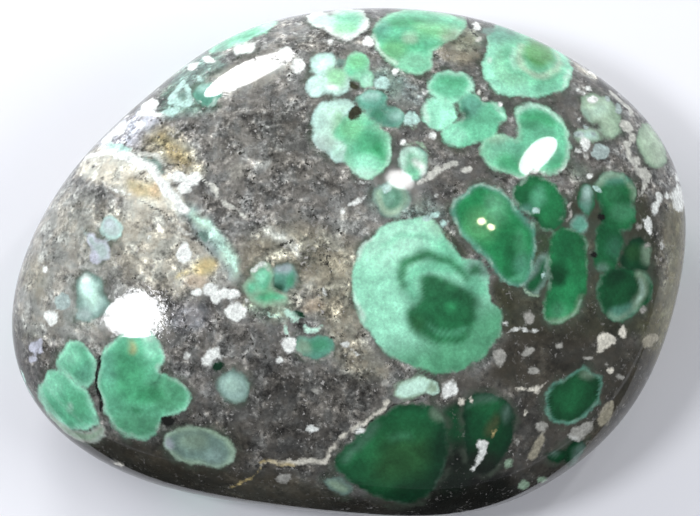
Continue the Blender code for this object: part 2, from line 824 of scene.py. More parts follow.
class Markings:
    """Lays the stone's markings on its vertices."""

    meeting = 0.4  # mm over which one nodule's colour gives way to the next
    seam_half = 0.08
    seam_fade = 0.18
    seam_depths = (-0.05, 0.2)  # mm inside both nodules, where a seam starts and is full
    seam_strength = 0.8

    def __init__(self, canvas: Canvas) -> None:
        """Starts from bare rock.

        Args:
            canvas: The stone's vertices.
        """
        count = len(canvas.points)
        self.canvas = canvas
        self.rock_paint = np.tile(ROCK.paint, (count, 1))
        self.grain = np.ones(count)
        self.nodule_depth = canvas.blank
        self.nodule_paint = np.tile(GREEN.paint, (count, 1))
        self.nodule_skin = np.zeros(count)
        self.fleck_depth = canvas.blank
        self.fleck_paint = np.tile(WHITE.paint, (count, 1))
        self.crack_depth = canvas.blank

    def stain(self, tint: Tint, grain: float | None = None) -> None:
        """Tints the rock.

        Args:
            tint: The tint.
            grain: How strong the rock's grain is there, if it changes.
        """
        share = tint.share(self.canvas)
        self.stain_at(tint.tone, share)
        if grain is not None:
            self.grain += (grain - self.grain) * share

    def stain_at(self, tone: Tone, share: np.ndarray) -> None:
        """Tints the rock by a known share at each vertex."""
        self.rock_paint += (tone.paint - self.rock_paint) * share[:, None]

    def grow(self, kind: Nodule, depth: np.ndarray | None = None) -> None:
        """Adds a nodule.

        Args:
            kind: The nodule.
            depth: Each vertex's depth inside it, where that is known.
        """
        if depth is None:
            depth = kind.depth(self.canvas)
        lead = depth - self.nodule_depth
        share = np.where(depth > FAR_OUTSIDE, np.clip(0.5 + lead / self.meeting, 0.0, 1.0), 0.0)
        paint = kind.paint(self.canvas, depth)
        self.nodule_paint += (paint - self.nodule_paint) * share[:, None]
        self.nodule_skin += (kind.skin - self.nodule_skin) * share
        if kind.seam is not None:
            seam = blend_steps(self.seam_half - np.abs(lead), -self.seam_fade, self.seam_fade)
            seam *= blend_steps(np.minimum(depth, self.nodule_depth), *self.seam_depths)
            self.nodule_paint += (kind.seam.paint - self.nodule_paint) * self.seam_strength * seam[:, None]
        self.nodule_depth = np.maximum(self.nodule_depth, depth)

    def dab(self, tone: Tone, depth: np.ndarray) -> None:
        """Adds a fleck.

        Args:
            tone: Its colour.
            depth: Each vertex's depth inside it.
        """
        share = np.clip(0.5 + (depth - self.fleck_depth) / self.meeting, 0.0, 1.0)
        share = np.where(depth > FAR_OUTSIDE, share, 0.0)
        self.fleck_paint += (tone.paint - self.fleck_paint) * share[:, None]
        self.fleck_depth = np.maximum(self.fleck_depth, depth)

    def crack(self, depth: np.ndarray) -> None:
        """Adds a thin dark crack, by each vertex's depth inside it."""
        self.crack_depth = np.maximum(self.crack_depth, depth)


@dataclass(frozen=True)
class Wire:
    """A value that runs between the finish's nodes. Arithmetic on it adds nodes."""

    bench: "NodeBench"
    socket: bpy.types.NodeSocket

    def __add__(self, other: "Value") -> "Wire":
        """The sum."""
        return self.bench.maths("ADD", self, other)

    def __sub__(self, other: "Value") -> "Wire":
        """The difference."""
        return self.bench.maths("SUBTRACT", self, other)

    def __rsub__(self, other: "Value") -> "Wire":
        """The difference, the other way."""
        return self.bench.maths("SUBTRACT", other, self)

    def __mul__(self, other: "Value") -> "Wire":
        """The product."""
        return self.bench.maths("MULTIPLY", self, other)

    def at_most(self, other: "Value") -> "Wire":
        """The lesser of the two."""
        return self.bench.maths("MINIMUM", self, other)

    def at_least(self, other: "Value") -> "Wire":
        """The greater of the two."""
        return self.bench.maths("MAXIMUM", self, other)


Paint = tuple[float, float, float, float]
Value = Wire | float | Paint


@dataclass(frozen=True)
class Noise:
    """One noise of the finish."""

    pitch: float  # mm, size of its largest grains
    seed: float
    detail: float = 3.0  # how many finer noises are added
    rough: float = 0.6  # how strong those are
    swirl: float = 0.0  # how much its own shapes are twisted
    strength: float = 1.0  # its size where it swings about 0
    band: tuple[float, float] = (0.40, 0.60)  # where it makes patches, it passes from none to full here


@dataclass(frozen=True)
class Edge:
    """Where something that the mesh carries a depth for begins, and how ragged it is there."""

    depth: str  # the depth's name on the mesh
    pitch: float  # mm, length of the fray
    fray: float  # mm, its height
    start: float  # mm of depth
    full: float


@dataclass(frozen=True)
class Grains:
    """One kind of small grains in the host rock."""

    colour: Paint
    share: float
    fine_seed: float
    wide_seed: float

    @property
    def fine(self) -> Noise:
        """The noise whose peaks are the grains."""
        return Noise(0.25, self.fine_seed, band=(0.60, 0.68))

    @property
    def wide(self) -> Noise:
        """The noise that thickens and thins them."""
        return Noise(1.0, self.wide_seed, 2.0, 0.5, strength=0.4)


class NodeBench:
    """A material's shader nodes, added and wired by short calls."""

    first_colour = 6  # the mix node's sockets, where several share a name
    mixed_colour = 2

    def __init__(self, material: bpy.types.Material) -> None:
        """Opens the material.

        Args:
            material: The material.
        """
        material.use_nodes = True
        self.tree = material.node_tree
        self.shader = self.tree.nodes["Principled BSDF"]

    @cached_property
    def place(self) -> bpy.types.NodeSocket:
        """The piece's own coordinates in mm, added when a noise first needs them.

        Returns:
            The socket that gives them.
        """
        scaler = self.add("ShaderNodeVectorMath", operation="SCALE")
        scaler.inputs["Scale"].default_value = 1 / MM
        self.tree.links.new(self.add("ShaderNodeTexCoord").outputs["Object"], scaler.inputs[0])
        return scaler.outputs[0]

    def add(self, kind: str, **settings: str | int) -> bpy.types.Node:
        """A new node.

        Args:
            kind: Its type.
            settings: Its settings, by name.

        Returns:
            The node.
        """
        node = self.tree.nodes.new(kind)
        for name, value in settings.items():
            setattr(node, name, value)
        return node

    def wire(self, value: Value, socket: bpy.types.NodeSocket) -> None:
        """Leads a value into a node.

        Args:
            value: A wire, or a plain number or colour.
            socket: The node's input.
        """
        if isinstance(value, Wire):
            self.tree.links.new(value.socket, socket)
        else:
            socket.default_value = value

    def finish(self, name: str, value: Value) -> None:
        """Leads a value into the finish's own input of this name."""
        self.wire(value, self.shader.inputs[name])

    def maths(self, operation: str, *values: Value) -> Wire:
        """Arithmetic.

        Args:
            operation: The operation's name.
            values: Wires or numbers.

        Returns:
            The result.
        """
        node = self.add("ShaderNodeMath", operation=operation)
        for value, socket in zip(values, node.inputs):
            self.wire(value, socket)
        return Wire(self, node.outputs[0])

    def step(self, value: Value, low: float, high: float) -> Wire:
        """A smooth step.

        Args:
            value: What is stepped.
            low: Where the step starts.
            high: Where it ends.

        Returns:
            0 below low and 1 above high.
        """
        node = self.add("ShaderNodeMapRange", interpolation_type="SMOOTHSTEP")
        self.wire(value, node.inputs["Value"])
        node.inputs["From Min"].default_value = low
        node.inputs["From Max"].default_value = high
        return Wire(self, node.outputs["Result"])

    def mix(self, share: Value, one: Value, other: Value, way: str = "MIX") -> Wire:
        """A mix of two colours.

        Args:
            share: Share of the other colour.
            one: The first colour.
            other: The other colour.
            way: How they mix.

        Returns:
            The mixed colour.
        """
        node = self.add("ShaderNodeMix", data_type="RGBA", blend_type=way)
        self.wire(share, node.inputs["Factor"])
        self.wire(one, node.inputs[self.first_colour])
        self.wire(other, node.inputs[self.first_colour + 1])
        return Wire(self, node.outputs[self.mixed_colour])

    def times(self, colour: Value, factor: Value) -> Wire:
        """A colour multiplied by a number or another colour."""
        return self.mix(1.0, colour, factor, "MULTIPLY")

    def brighten(self, colour: Value, stops: Wire) -> Wire:
        """A colour that is doubled for each whole stop."""
        return self.times(colour, self.maths("POWER", 2.0, stops))

    def noise(self, kind: Noise) -> Wire:
        """Smooth noise about 0.5.

        Args:
            kind: The noise.

        Returns:
            Its value.
        """
        node = self.add("ShaderNodeTexNoise", noise_dimensions="4D")
        self.tree.links.new(self.place, node.inputs["Vector"])
        node.inputs["W"].default_value = kind.seed
        node.inputs["Scale"].default_value = 1 / kind.pitch
        node.inputs["Detail"].default_value = kind.detail
        node.inputs["Roughness"].default_value = kind.rough
        node.inputs["Distortion"].default_value = kind.swirl
        return Wire(self, node.outputs["Fac"])

    def swing(self, kind: Noise) -> Wire:
        """Noise about 0, as strong as its strength."""
        return (self.noise(kind) - 0.5) * kind.strength

    def patches(self, kind: Noise) -> Wire:
        """Patches of 1 on 0, where the noise passes its band."""
        return self.step(self.noise(kind), *kind.band)

    def attribute(self, name: str, part: str = "Fac") -> Wire:
        """A value that the mesh carries."""
        return Wire(self, self.add("ShaderNodeAttribute", attribute_name=name).outputs[part])

    def inside(self, edge: Edge) -> Wire:
        """0 outside an edge and 1 inside it."""
        fray = self.swing(Noise(edge.pitch, len(edge.depth), strength=edge.fray))
        return self.step(self.attribute(edge.depth) + fray, edge.start, edge.full)


@dataclass(frozen=True)
class PolishedRock:
    """The stone's finish: grainy host rock, banded nodules, pale flecks and cracks, all under one polish."""

    refraction: float = 1.47
    rock_roughness: float = 0.05
    pit_roughness: float = 0.45
    nodule_roughness: float = 0.035
    fleck_roughness: float = 0.10

    nodule_edge: Edge = Edge("nodule_depth", 0.36, 0.42, -0.15, 0.13)
    fleck_edge: Edge = Edge("fleck_depth", 0.34, 0.50, -0.10, 0.10)
    crack_edge: Edge = Edge("crack_depth", 0.30, 0.14, -0.04, 0.05)

    coarse_patches: Noise = Noise(1.3, 4.0, 3.0, 0.55, 0.8)  # where the rock's grain is coarser
    coarse_least: float = 0.45
    coarse_more: float = 0.9
    pitting: Noise = Noise(0.20, 3.1, band=(0.57, 0.66))
    pit_stain: float = 0.5
    blotches: Noise = Noise(0.72, 1.0, 4.0, 0.62, 0.3, 8.5)
    specks: Noise = Noise(0.24, 2.0, 2.0, strength=4.5)
    drift: Noise = Noise(2.6, 5.0, 3.0, 0.5, strength=1.8)
    cool_patches: Noise = Noise(0.9, 6.0, 4.0, band=(0.42, 0.58))
    warm_rock: Paint = (1.02, 1.0, 0.96, 1.0)  # what warm and cool patches of rock multiply its colour by
    cool_rock: Paint = (0.96, 1.0, 1.01, 1.0)
    light_grains: Grains = Grains((0.44, 0.43, 0.41, 1.0), 0.66, 7.0, 20.0)
    dark_grains: Grains = Grains((0.030, 0.029, 0.024, 1.0), 1.05, 8.0, 21.0)

    halo: Paint = (0.060, 0.080, 0.058, 1.0)  # rock beside a nodule
    halo_edge: Edge = Edge("nodule_depth", 0.50, 0.70, -0.60, -0.05)
    halo_patches: Noise = Noise(1.1, 16.0, 3.0, 0.5, band=(0.42, 0.60))
    halo_least: float = 0.15
    halo_more: float = 0.60

    clouds: Noise = Noise(1.1, 9.0, 4.0, 0.5, 0.5, 2.2)
    wisps: Noise = Noise(0.20, 10.0, swirl=0.6, strength=1.3)
    skin: Paint = (0.46, 0.66, 0.54, 1.0)  # a nodule's thin pale skin
    skin_edge: Edge = Edge("nodule_depth", 0.40, 0.50, 0.04, 0.28)
    skin_patches: Noise = Noise(0.8, 17.0, band=(0.40, 0.66))
    skin_strength: float = 0.9

    fleck_mottle: Noise = Noise(0.22, 12.0, strength=2.6)
    fleck_dimming: float = 0.12

    relief: float = 0.018  # mm that the bump stands
    bump_strength: float = 0.6
    bump_grain: Noise = Noise(0.26, 15.0)
    grain_height: float = 0.6  # heights as shares of the relief
    proud_height: float = 0.04

    def material(self) -> bpy.types.Material:
        """The finish as a material.

        Returns:
            The material.
        """
        material = bpy.data.materials.new("polished_rock")
        bench = NodeBench(material)
        coarse = bench.patches(self.coarse_patches) * self.coarse_more + self.coarse_least
        coarse = coarse * bench.attribute("grain")
        pits = bench.patches(self.pitting) * coarse
        nodules, specks = bench.inside(self.nodule_edge), bench.inside(self.fleck_edge)
        colour = bench.mix(nodules, self.rock_colour(bench, coarse, pits), self.nodule_colour(bench))
        colour = bench.mix(specks, colour, self.fleck_colour(bench))
        colour = bench.mix(bench.inside(self.crack_edge), colour, (*BLACK.value, 1.0))
        bench.finish("IOR", self.refraction)
        bench.finish("Base Color", colour)
        bench.finish("Roughness", self.roughness(pits, nodules, specks))
        bench.finish("Normal", self.bump(bench, coarse, pits, nodules.at_least(specks)))
        return material

    def rock_colour(self, bench: NodeBench, coarse: Wire, pits: Wire) -> Wire:
        """The host rock: a stained and mottled ground with light and dark grains, greener beside the nodules.

        Args:
            bench: The material's nodes.
            coarse: How coarse the grain is.
            pits: Where the rock is pitted.

        Returns:
            The colour.
        """
        stops = (bench.swing(self.blotches) + bench.swing(self.specks)) * coarse + bench.swing(self.drift)
        ground = bench.brighten(bench.attribute("rock_paint", "Color"), stops)
        cast = bench.mix(bench.patches(self.cool_patches), self.warm_rock, self.cool_rock)
        ground = bench.times(ground, cast)
        for kind in (self.light_grains, self.dark_grains):
            grains = bench.step(bench.noise(kind.fine) + bench.swing(kind.wide), *kind.fine.band)
            ground = bench.mix((grains * (coarse * kind.share)).at_most(1.0), ground, kind.colour)
        ground = bench.mix(pits * self.pit_stain, ground, self.dark_grains.colour)
        broken = bench.patches(self.halo_patches) * self.halo_more + self.halo_least
        return bench.mix(bench.inside(self.halo_edge) * broken, ground, self.halo)

    def nodule_colour(self, bench: NodeBench) -> Wire:
        """The nodules: their own banding with faint clouds, and a pale skin that comes and goes.

        Args:
            bench: The material's nodes.

        Returns:
            The colour.
        """
        stops = bench.swing(self.clouds) + bench.swing(self.wisps)
        paint = bench.brighten(bench.attribute("nodule_paint", "Color"), stops)
        broken = bench.patches(self.skin_patches) * self.skin_strength
        skin = (1.0 - bench.inside(self.skin_edge)) * broken * bench.attribute("nodule_skin")
        return bench.mix(skin, paint, self.skin)

    def fleck_colour(self, bench: NodeBench) -> Wire:
        """The flecks, mottled."""
        stops = bench.swing(self.fleck_mottle) - self.fleck_dimming
        return bench.brighten(bench.attribute("fleck_paint", "Color"), stops)

    def roughness(self, pits: Wire, nodules: Wire, specks: Wire) -> Wire:
        """How rough the polish is.

        Args:
            pits: Where the rock is pitted.
            nodules: 1 inside the nodules.
            specks: 1 inside the flecks.

        Returns:
            The roughness.
        """
        value = pits * (self.pit_roughness - self.rock_roughness) + self.rock_roughness
        for inside, goal in ((nodules, self.nodule_roughness), (specks, self.fleck_roughness)):
            value = value + inside * (goal - value)
        return value

    def bump(self, bench: NodeBench, coarse: Wire, pits: Wire, proud: Wire) -> Wire:
        """Pits and fine grain in the rock, and nodules and flecks that the polish leaves a hair proud.

        Args:
            bench: The material's nodes.
            coarse: How coarse the rock's grain is.
            pits: Where it's pitted.
            proud: 1 inside the nodules and flecks.

        Returns:
            The bumped normal.
        """
        rock = (bench.noise(self.bump_grain) * self.grain_height - pits) * coarse * (1.0 - proud)
        node = bench.add("ShaderNodeBump")
        node.inputs["Strength"].default_value = self.bump_strength
        node.inputs["Distance"].default_value = self.relief * MM
        bench.wire(proud * self.proud_height + rock, node.inputs["Height"])
        return Wire(bench, node.outputs["Normal"])


@dataclass(frozen=True)
class Region:
    """The marks of one part of the show face."""

    nodules: tuple[Nodule, ...] = ()
    flecks: tuple[Fleck, ...] = ()
    stains: tuple[Tint, ...] = ()
    smooth: tuple[Tint, ...] = ()  # stains where the rock is less grainy
    painted_highlight_beds: tuple[Tint, ...] = ()  # stains under the lamps' highlights, where the rock has hardly any grain and is paler: partly painted highlight
    cracks: tuple[Trail, ...] = ()
    smooth_grain: float = 0.35
    highlight_bed_grain: float = 0.06

    def mark(self, markings: Markings) -> None:
        """Lays the region's marks, the lowest first.

        Args:
            markings: The stone's markings so far.
        """
        grains = ((self.stains, None), (self.smooth, self.smooth_grain), (self.painted_highlight_beds, self.highlight_bed_grain))
        for tints, grain in grains:
            for tint in tints:
                markings.stain(tint, grain)
        for kind in self.nodules:
            markings.grow(kind)
        for fleck in self.flecks:
            for shape in fleck.shapes:
                markings.dab(fleck.tone, shape.depth(markings.canvas))
        for trail in self.cracks:
            markings.crack(trail.depth(markings.canvas))


GREAT_EYE = nodule(
    MINT, MINT,
    patch(0.3-1.6j, 0.55+0.6j, 1.3+1.4j, 2.3+2.25j, 3.6+2.65j, 4.7+2.75j, 5.7+2.3j, 6.4+1.1j, 7.2+0.2j,
        8.3+0.1j, 8.8-1j, 8.9-2.3j, 9.65-3.3j, 9.4-4.7j, 8.2-6.1j, 6.3-6.95j, 4.4-6.6j, 2.7-5.9j, 1.6-4.7j,
        0.6-3.2j),
    Tint(MINT_WHITE, Oval(3+1.2j, 2.2, 1.2, 25), 0.9, 0.35),
    Tint(FERN, Oval(8.2-5.4j, 4.2, 2.6, 30), 1.5, 0.97), Tint(FERN, Oval(4.6-6.8j, 3, 1.3, -8), 0.9, 0.75),
    Tint(JADE, Oval(7+0.4j, 1.7, 1.2, -30), 0.6, 0.75), Tint(DUSTY, spot(8.2-0.3j, 0.8), 0.4, 0.75),
    Tint(SAGE, Oval(5.5+2.5j, 1.1, 0.6, -30), 0.4, 0.5), Tint(JADE, Oval(8-1.5j, 0.8, 0.6, -30), 0.25, 0.8),
    Tint(JADE, line(0.2, 2.2+1.1j, 3.3+1.6j, 4.5+1.7j, 5.4+1.2j), 0.2, 0.55),
    Tint(JADE, line(0.14, 1.4+0j, 2.3+0.7j, 3+1j), 0.2, 0.4),
    Tint(DEEP, line(0.3, 3.5-1.6j, 3.3-1j, 3.5-0.3j, 4.1+0.3j, 5+0.4j, 6+0.1j, 6.9-0.4j, 7.3-0.9j),
        0.34, 0.95),
    Tint(JADE, line(0.35, 4.2-2.4j, 3.9-1.3j, 4.4-0.5j, 5.4-0.3j, 6.4-0.6j), 0.25, 0.75),
    Tint(DEEP, patch(4.5-1j, 4.5-2.3j, 3.7-3j, 3.8-4j, 4.4-4.6j, 5-4.9j, 6.2-5j, 7.3-4.7j, 8-3.4j, 8-2.2j,
        7.2-1.5j, 6.4-1.1j, 5.4-0.8j), 0.34, 0.95),
    Tint(LEAF, Oval(6-3.2j, 1.4, 1, -20), 0.6, 0.25), Tint(PINE, Oval(5.6-3j, 1.8, 1.5), 0.6, 0.5),
    Tint(NIGHT, Oval(7.4-2.5j, 0.8, 1.2, 15), 0.5, 0.25), Tint(MOSS, Oval(4.3-3.9j, 0.45, 0.55), 0.35, 0.45),
    Tint(GREEN, spot(6.4-2.8j, 0.36), 0.2),
    Tint(JADE, line(0.15, 5-3.9j, 5.6-4.4j, 6.5-4.5j, 7.3-4.2j), 0.16, 0.45),
    Tint(DEEP, line(0.16, 4.9-4.3j, 5.4-4.8j, 6.4-4.9j, 7.4-4.6j), 0.12, 0.7),
    Tint(NIGHT, spot(5.45-2.3j, 0.08), 0.08, 0.8), Tint(DEEP, patch(8-0.2j, 7.5-0.75j, 8.4-0.8j), 0.12, 0.8),
    Tint(WHITE, line(0.12, 0.5+0.3j, 0.8+1j, 1.4+1.35j), 0.15, 0.75),
    Tint(WHITE, line(0.07, 0.35-2j, 0.6-2.9j, 1-3.5j), 0.1, 0.8), skin=0.35,
)

EYE_REGION = Region(
    nodules=(GREAT_EYE,),
    stains=(
        Tint(TAN, patch(-1.5-0.5j, 0.2+0.4j, 0.9-4.5j, 2.6-7j, 0-7.2j, -1.6-4j), 0.6),
        Tint(TAN, Oval(-3.2+0.8j, 2, 1.8), 1, 0.4),
        Tint(TAN, patch(-18.6+3j, -15.6+3.6j, -12+2.6j, -9.4+0.4j, -10.6-1.8j, -13.6-1.2j, -16.4+0.2j),
            1, 0.35),
        Tint(GREY, Oval(-6+7.5j, 2.6, 2.2), 1.2, 0.15),
    ),
)

RIGHT_REGION = Region(
    stains=(
        Tint(OLIVE, patch(5.7+1.9j, 6.2+2j, 7.4+0.8j, 7.5+0.4j, 6.6+0.3j, 5.9+1.2j), 0.25, 0.9),
        Tint(OLIVE, patch(9.2-1.2j, 10.2-1.8j, 10.2-3.6j, 9.8-4.2j, 9.2-2.6j), 0.3, 0.8),
        Tint(SLATE, patch(15.2+5j, 18.6+5.5j, 19.8+0.5j, 19-4.6j, 15.4-4.4j, 14.8+2j), 0.8),
        Tint(GREEN, patch(11.2+2j, 12.4+2.2j, 12.8+0.6j, 12.2-0.6j, 11.4-0.6j), 0.3, 0.85),
    ),
    smooth=(
        Tint(OLIVE, patch(12+2.4j, 14.6+4.8j, 16+5.6j, 18+5j, 19+3j, 19.4+0.6j, 18.8-4.4j, 10-4.6j, 9.4-0.6j),
            0.5, 0.88),
        Tint(TAN, patch(19.8+3j, 20.8+4j, 21.2+0j, 20.6-4.4j, 19.4-6.6j, 18.4-5.6j, 19.6-2.6j, 20+0j), 0.6),
        Tint(BRONZE, patch(20.1+3j, 21.2+3.2j, 21.2-3j, 20-5.6j, 18.6-6.4j, 18.4-4.4j, 19.6-2.6j, 19.9+0j),
            0.7, 0.8),
        Tint(UMBER, patch(9.8-4.6j, 12-4.2j, 15.4-4.6j, 19.2-5.6j, 18.4-8.8j, 16-12.2j, 10.8-14j, 10.4-8.4j,
            9-7j), 0.6, 0.9),
    ),
    nodules=(
        nodule(
            LEAF, TEAL,
            patch(6.45+3.1j, 6.9+4.1j, 7.9+4.75j, 9+4.8j, 9.9+4.2j, 10.8+3.1j, 11.6+2.1j, 11.8+1j, 11.6-0.4j,
                11.2-1.3j, 10.3-1.5j, 9.3-0.9j, 8.8+0.1j, 7.9+0.9j, 7+1.9j),
            # lighter yellow-green middle where the warm lamp and its ring are mirrored: partly the nodule's
            # own colour, partly painted reflection
            Tint(SPRING, spot(8.3+2.3j, 1), 0.6, 0.35), Tint(SEA, Oval(9.3+3.3j, 0.6, 1, 20), 0.5, 0.38),
            Tint(FERN, Oval(10.7+1j, 0.35, 1.1), 0.4, 0.5), Tint(DEEP, Oval(9.9+2j, 0.5, 1.2, 25), 0.5),
            Tint(PINE, Oval(10.2+0.2j, 0.5, 0.9), 0.5, 0.5), Tint(TEAL, Oval(10.9-0.3j, 0.5, 0.8), 0.4, 0.5),
            Tint(JADE, line(0.2, 10.1-1.1j, 10.8-0.9j), 0.2, 0.7), skin=0.8, seam=DEEP,
        ),
        nodule(
            DEEP, PINE,
            patch(10.25+4.2j, 10.6+4.9j, 11.5+5.35j, 12.6+5.1j, 13.3+4.4j, 13.6+3.4j, 13.4+2.5j, 12.8+2j,
                12+2.2j, 11.3+2.9j, 10.6+3.5j),
            Tint(LEAF, Oval(12.3+3.9j, 0.9, 1.1), 0.5), Tint(JADE, Oval(11.85+4j, 0.4, 0.7, -15), 0.4, 0.7),
            Tint(TEAL, Oval(11.1+3.3j, 0.45, 0.3), 0.2, 0.8), Tint(PINE, spot(10.9+4.3j, 0.6), 0.4, 0.7),
            Tint(BLACK, Oval(11.65+2.55j, 0.25, 0.2), 0.12, 0.9), skin=0.5, seam=NIGHT,
        ),
        nodule(
            LEAF, DEEP,
            patch(13+2j, 14+2.1j, 14.8+1.4j, 14.95+0j, 14.9-1.4j, 14.6-2.7j, 13.8-3.6j, 12.8-3.85j, 12.2-3.3j,
                12.3-2.4j, 12.5-1.4j, 12.6-0.6j, 12.5+0.3j, 12.6+1.2j),
            Tint(PINE, spot(13.9+0.9j, 1), 0.6, 0.8), Tint(DEEP, Oval(14.4+0.2j, 0.4, 1.3), 0.4),
            Tint(IVY, Oval(13.1-0.7j, 0.7, 0.75, -20), 0.35, 0.95),
            Tint(FERN, Oval(13.2-3.1j, 0.5, 0.4), 0.4),
            Tint(SAGE, line(0.14, 14.6-2.2j, 14.3-3j, 13.5-3.6j, 12.7-3.6j), 0.2, 0.7), skin=0.4,
        ),
        nodule(
            PINE, DUSTY,
            patch(12.3+0.5j, 12.6-0.3j, 12.3-1.4j, 11.8-1.95j, 11.2-1.9j, 11-1.4j, 11.5-0.7j, 11.9+0.2j),
            edge_width=0.4, skin=0.2, seam=NIGHT,
        ),
        nodule(
            DEEP, PINE, Oval(16.7+4.4j, 1.35, 1.25), Oval(16.9+2.9j, 1.25, 1), Oval(16.3+1.2j, 0.95, 1.3),
            spot(16.1+0.1j, 0.8), Tint(TEAL, Oval(16.5+5.3j, 1.3, 0.45), 0.3, 0.8),
            Tint(SAGE, line(0.22, 15.5+4.7j, 15.9+5.2j, 16.5+5.5j, 17.2+5.4j), 0.25, 0.8),
            Tint(SAGE, line(0.16, 17.4+5.1j, 17.8+4.6j, 17.8+4j), 0.25, 0.75),
            Tint(FERN, Oval(16.4+4.3j, 0.7, 0.5), 0.4, 0.2), Tint(FERN, Oval(17.2+3.1j, 0.8, 0.55), 0.3, 0.5),
            Tint(IVY, Oval(15.8+2.7j, 0.45, 0.8), 0.4, 0.9), Tint(PINE, Oval(16.3+1.2j, 0.9, 1.2), 0.5, 0.9),
            Tint(TEAL, Oval(16.7+0.9j, 0.4, 0.6), 0.4, 0.25), Tint(DUSTY, Oval(15.9-0.4j, 0.4, 0.3), 0.25),
            skin=0.15,
        ),
        nodule(
            IVY, NIGHT, Oval(18.1+0.4j, 0.9, 1.1), spot(17.6+0j, 0.6),
            Tint(SAGE, Oval(18.7+0.5j, 0.4, 0.6), 0.3, 0.55), Tint(MOSS, spot(17.8+0.6j, 0.5)),
            edge_width=0.6, skin=0,
        ),
        nodule(
            IVY, PINE, Oval(17-1.95j, 1.5, 1.75), Oval(18.2-1.7j, 0.9, 1.2),
            Tint(DEEP, Oval(17-2.3j, 0.8, 0.9), 0.6, 0.3), Tint(NIGHT, Oval(16.7-0.8j, 0.5, 0.6), 0.4, 0.7),
            Tint(TEAL, Oval(17.2-3.1j, 1, 0.4, 15), 0.3, 0.8),
            Tint(SAGE, line(0.3, 18.2-0.6j, 18.5-1.4j, 18.3-2.2j, 17.9-2.9j), 0.3, 0.75),
            Tint(AQUA, line(0.12, 18.3-1.2j, 18.4-1.9j, 18.1-2.5j), 0.22),
            Tint(SAGE, line(0.14, 17.6-3.1j, 17-3.5j, 16.3-3.3j), 0.22, 0.7), edge_width=0.5, skin=0.2,
            seam=NIGHT,
        ),
        nodule(TEAL, DUSTY, spot(14.5+2.35j, 0.58), edge_width=0.2, skin=0.2),
        nodule(
            DUSTY, PINE, Oval(14.9+3.9j, 0.5, 0.95), Tint(AQUA, Oval(14.95+4.4j, 0.25, 0.35), 0.25),
            Tint(TEAL, spot(14.8+3.4j, 0.4)), edge_width=0.4, skin=0,
        ),
        nodule(
            IVY, TEAL,
            patch(12.3-8.8j, 12.8-7.7j, 13.9-7.1j, 14.6-6.6j, 15.5-7j, 15.9-7.8j, 15.4-9.1j, 14.2-10j,
                12.9-10j),
            Tint(DEEP, Oval(14-8.4j, 1.3, 1, 30), 0.5, 0.55), Tint(SAGE, Oval(15-7j, 0.4, 0.3), 0.3, 0.5),
            edge_width=0.2, skin=0.25,
        ),
        nodule(
            IVY, NIGHT, Oval(14.2-11.9j, 0.55, 1, -20), Oval(13-12.1j, 0.6, 0.4),
            Tint(DUSTY, Oval(14.4-11.9j, 0.26, 0.8, -20), 0.25, 0.7),
            Tint(DUSTY, Oval(12.9-11.9j, 0.25, 0.2), 0.25, 0.5), skin=0,
        ),
    ),
    flecks=(
        flecks(AQUA, spot(11.75+3.2j, 0.25), Oval(12.2-0.8j, 0.12, 0.25), Oval(15.55+4.6j, 0.28, 0.25)),
        flecks(GREY, line(0.09, 13.65+4.4j, 13.9+3.9j, 13.75+3.4j, 13.95+3j, 13.6+2.6j), line(0.07, 18+4.9j,
            18.15+4.4j, 18.05+3.8j), line(0.08, 19.2+0.6j, 19.3+0j), spot(11.3-3.5j, 0.35),
            Oval(11.3-5.6j, 0.5, 0.22, 35), Oval(9.5-6j, 0.4, 0.55, -20), Oval(11.6-6.8j, 0.35, 0.2),
            Oval(15-6.05j, 0.3, 0.12), Oval(13.2-5.2j, 0.25, 0.2, 40), spot(16.1-6.4j, 0.12),
            Oval(17-7.2j, 0.3, 0.12), Oval(14.55-10.6j, 0.8, 0.42, 28), Oval(12.05-10.3j, 0.45, 0.32, 20),
            spot(10.55-11.25j, 0.17), spot(18.2+2.2j, 0.2), spot(18.7+1j, 0.2), spot(18.5-3j, 0.2)),
        flecks(SAGE, spot(10.1-12.6j, 0.3), Oval(11-13.9j, 0.4, 0.28), Oval(12.1-13.6j, 0.3, 0.2), line(0.12,
            11-1.6j, 11.5-2j, 12-2j)),
        flecks(TAN, Oval(11.9-11.5j, 0.8, 0.22, 70), Oval(11.6-12.1j, 0.35, 0.28),
            Oval(16.1-9.5j, 0.85, 0.42, 60), Oval(18.9-4.9j, 0.55, 0.35, 35)),
        flecks(CREAM, Oval(16.1-4.9j, 0.65, 0.5), Oval(15.8-5.4j, 0.3, 0.22), Oval(17.2-4.3j, 0.25, 0.35),
            Oval(16.35-6.8j, 0.33, 0.25), line(0.1, 10.6-7.95j, 11.2-8j, 11.9-7.9j, 12.35-7.55j),
            spot(11.7-8.05j, 0.2), Oval(11.1-9.4j, 0.15, 0.2)),
        flecks(WHITE, spot(15.1+5.35j, 0.15), Oval(18.8+2.3j, 0.25, 0.65, 15), Oval(19.4+4j, 0.22, 0.4, 10),
            Oval(19.2+3.4j, 0.3, 0.35), spot(19.95+4.15j, 0.18), Oval(20.65+4j, 0.45, 0.85),
            Oval(19.65+1.05j, 0.13, 0.3), spot(20.6+5.2j, 0.25), spot(9.85-3.9j, 0.12), line(0.08, 10-4.4j,
            10.5-4.15j, 11-4.2j, 11.8-4.25j), Oval(14.2-10.9j, 0.3, 0.2, 28), spot(5.5+4.15j, 0.1)),
        flecks(BLACK, spot(15.3+0.4j, 0.2), Oval(15.8+2.85j, 0.2, 0.3), spot(14.5-10.5j, 0.12)),
    ),
)

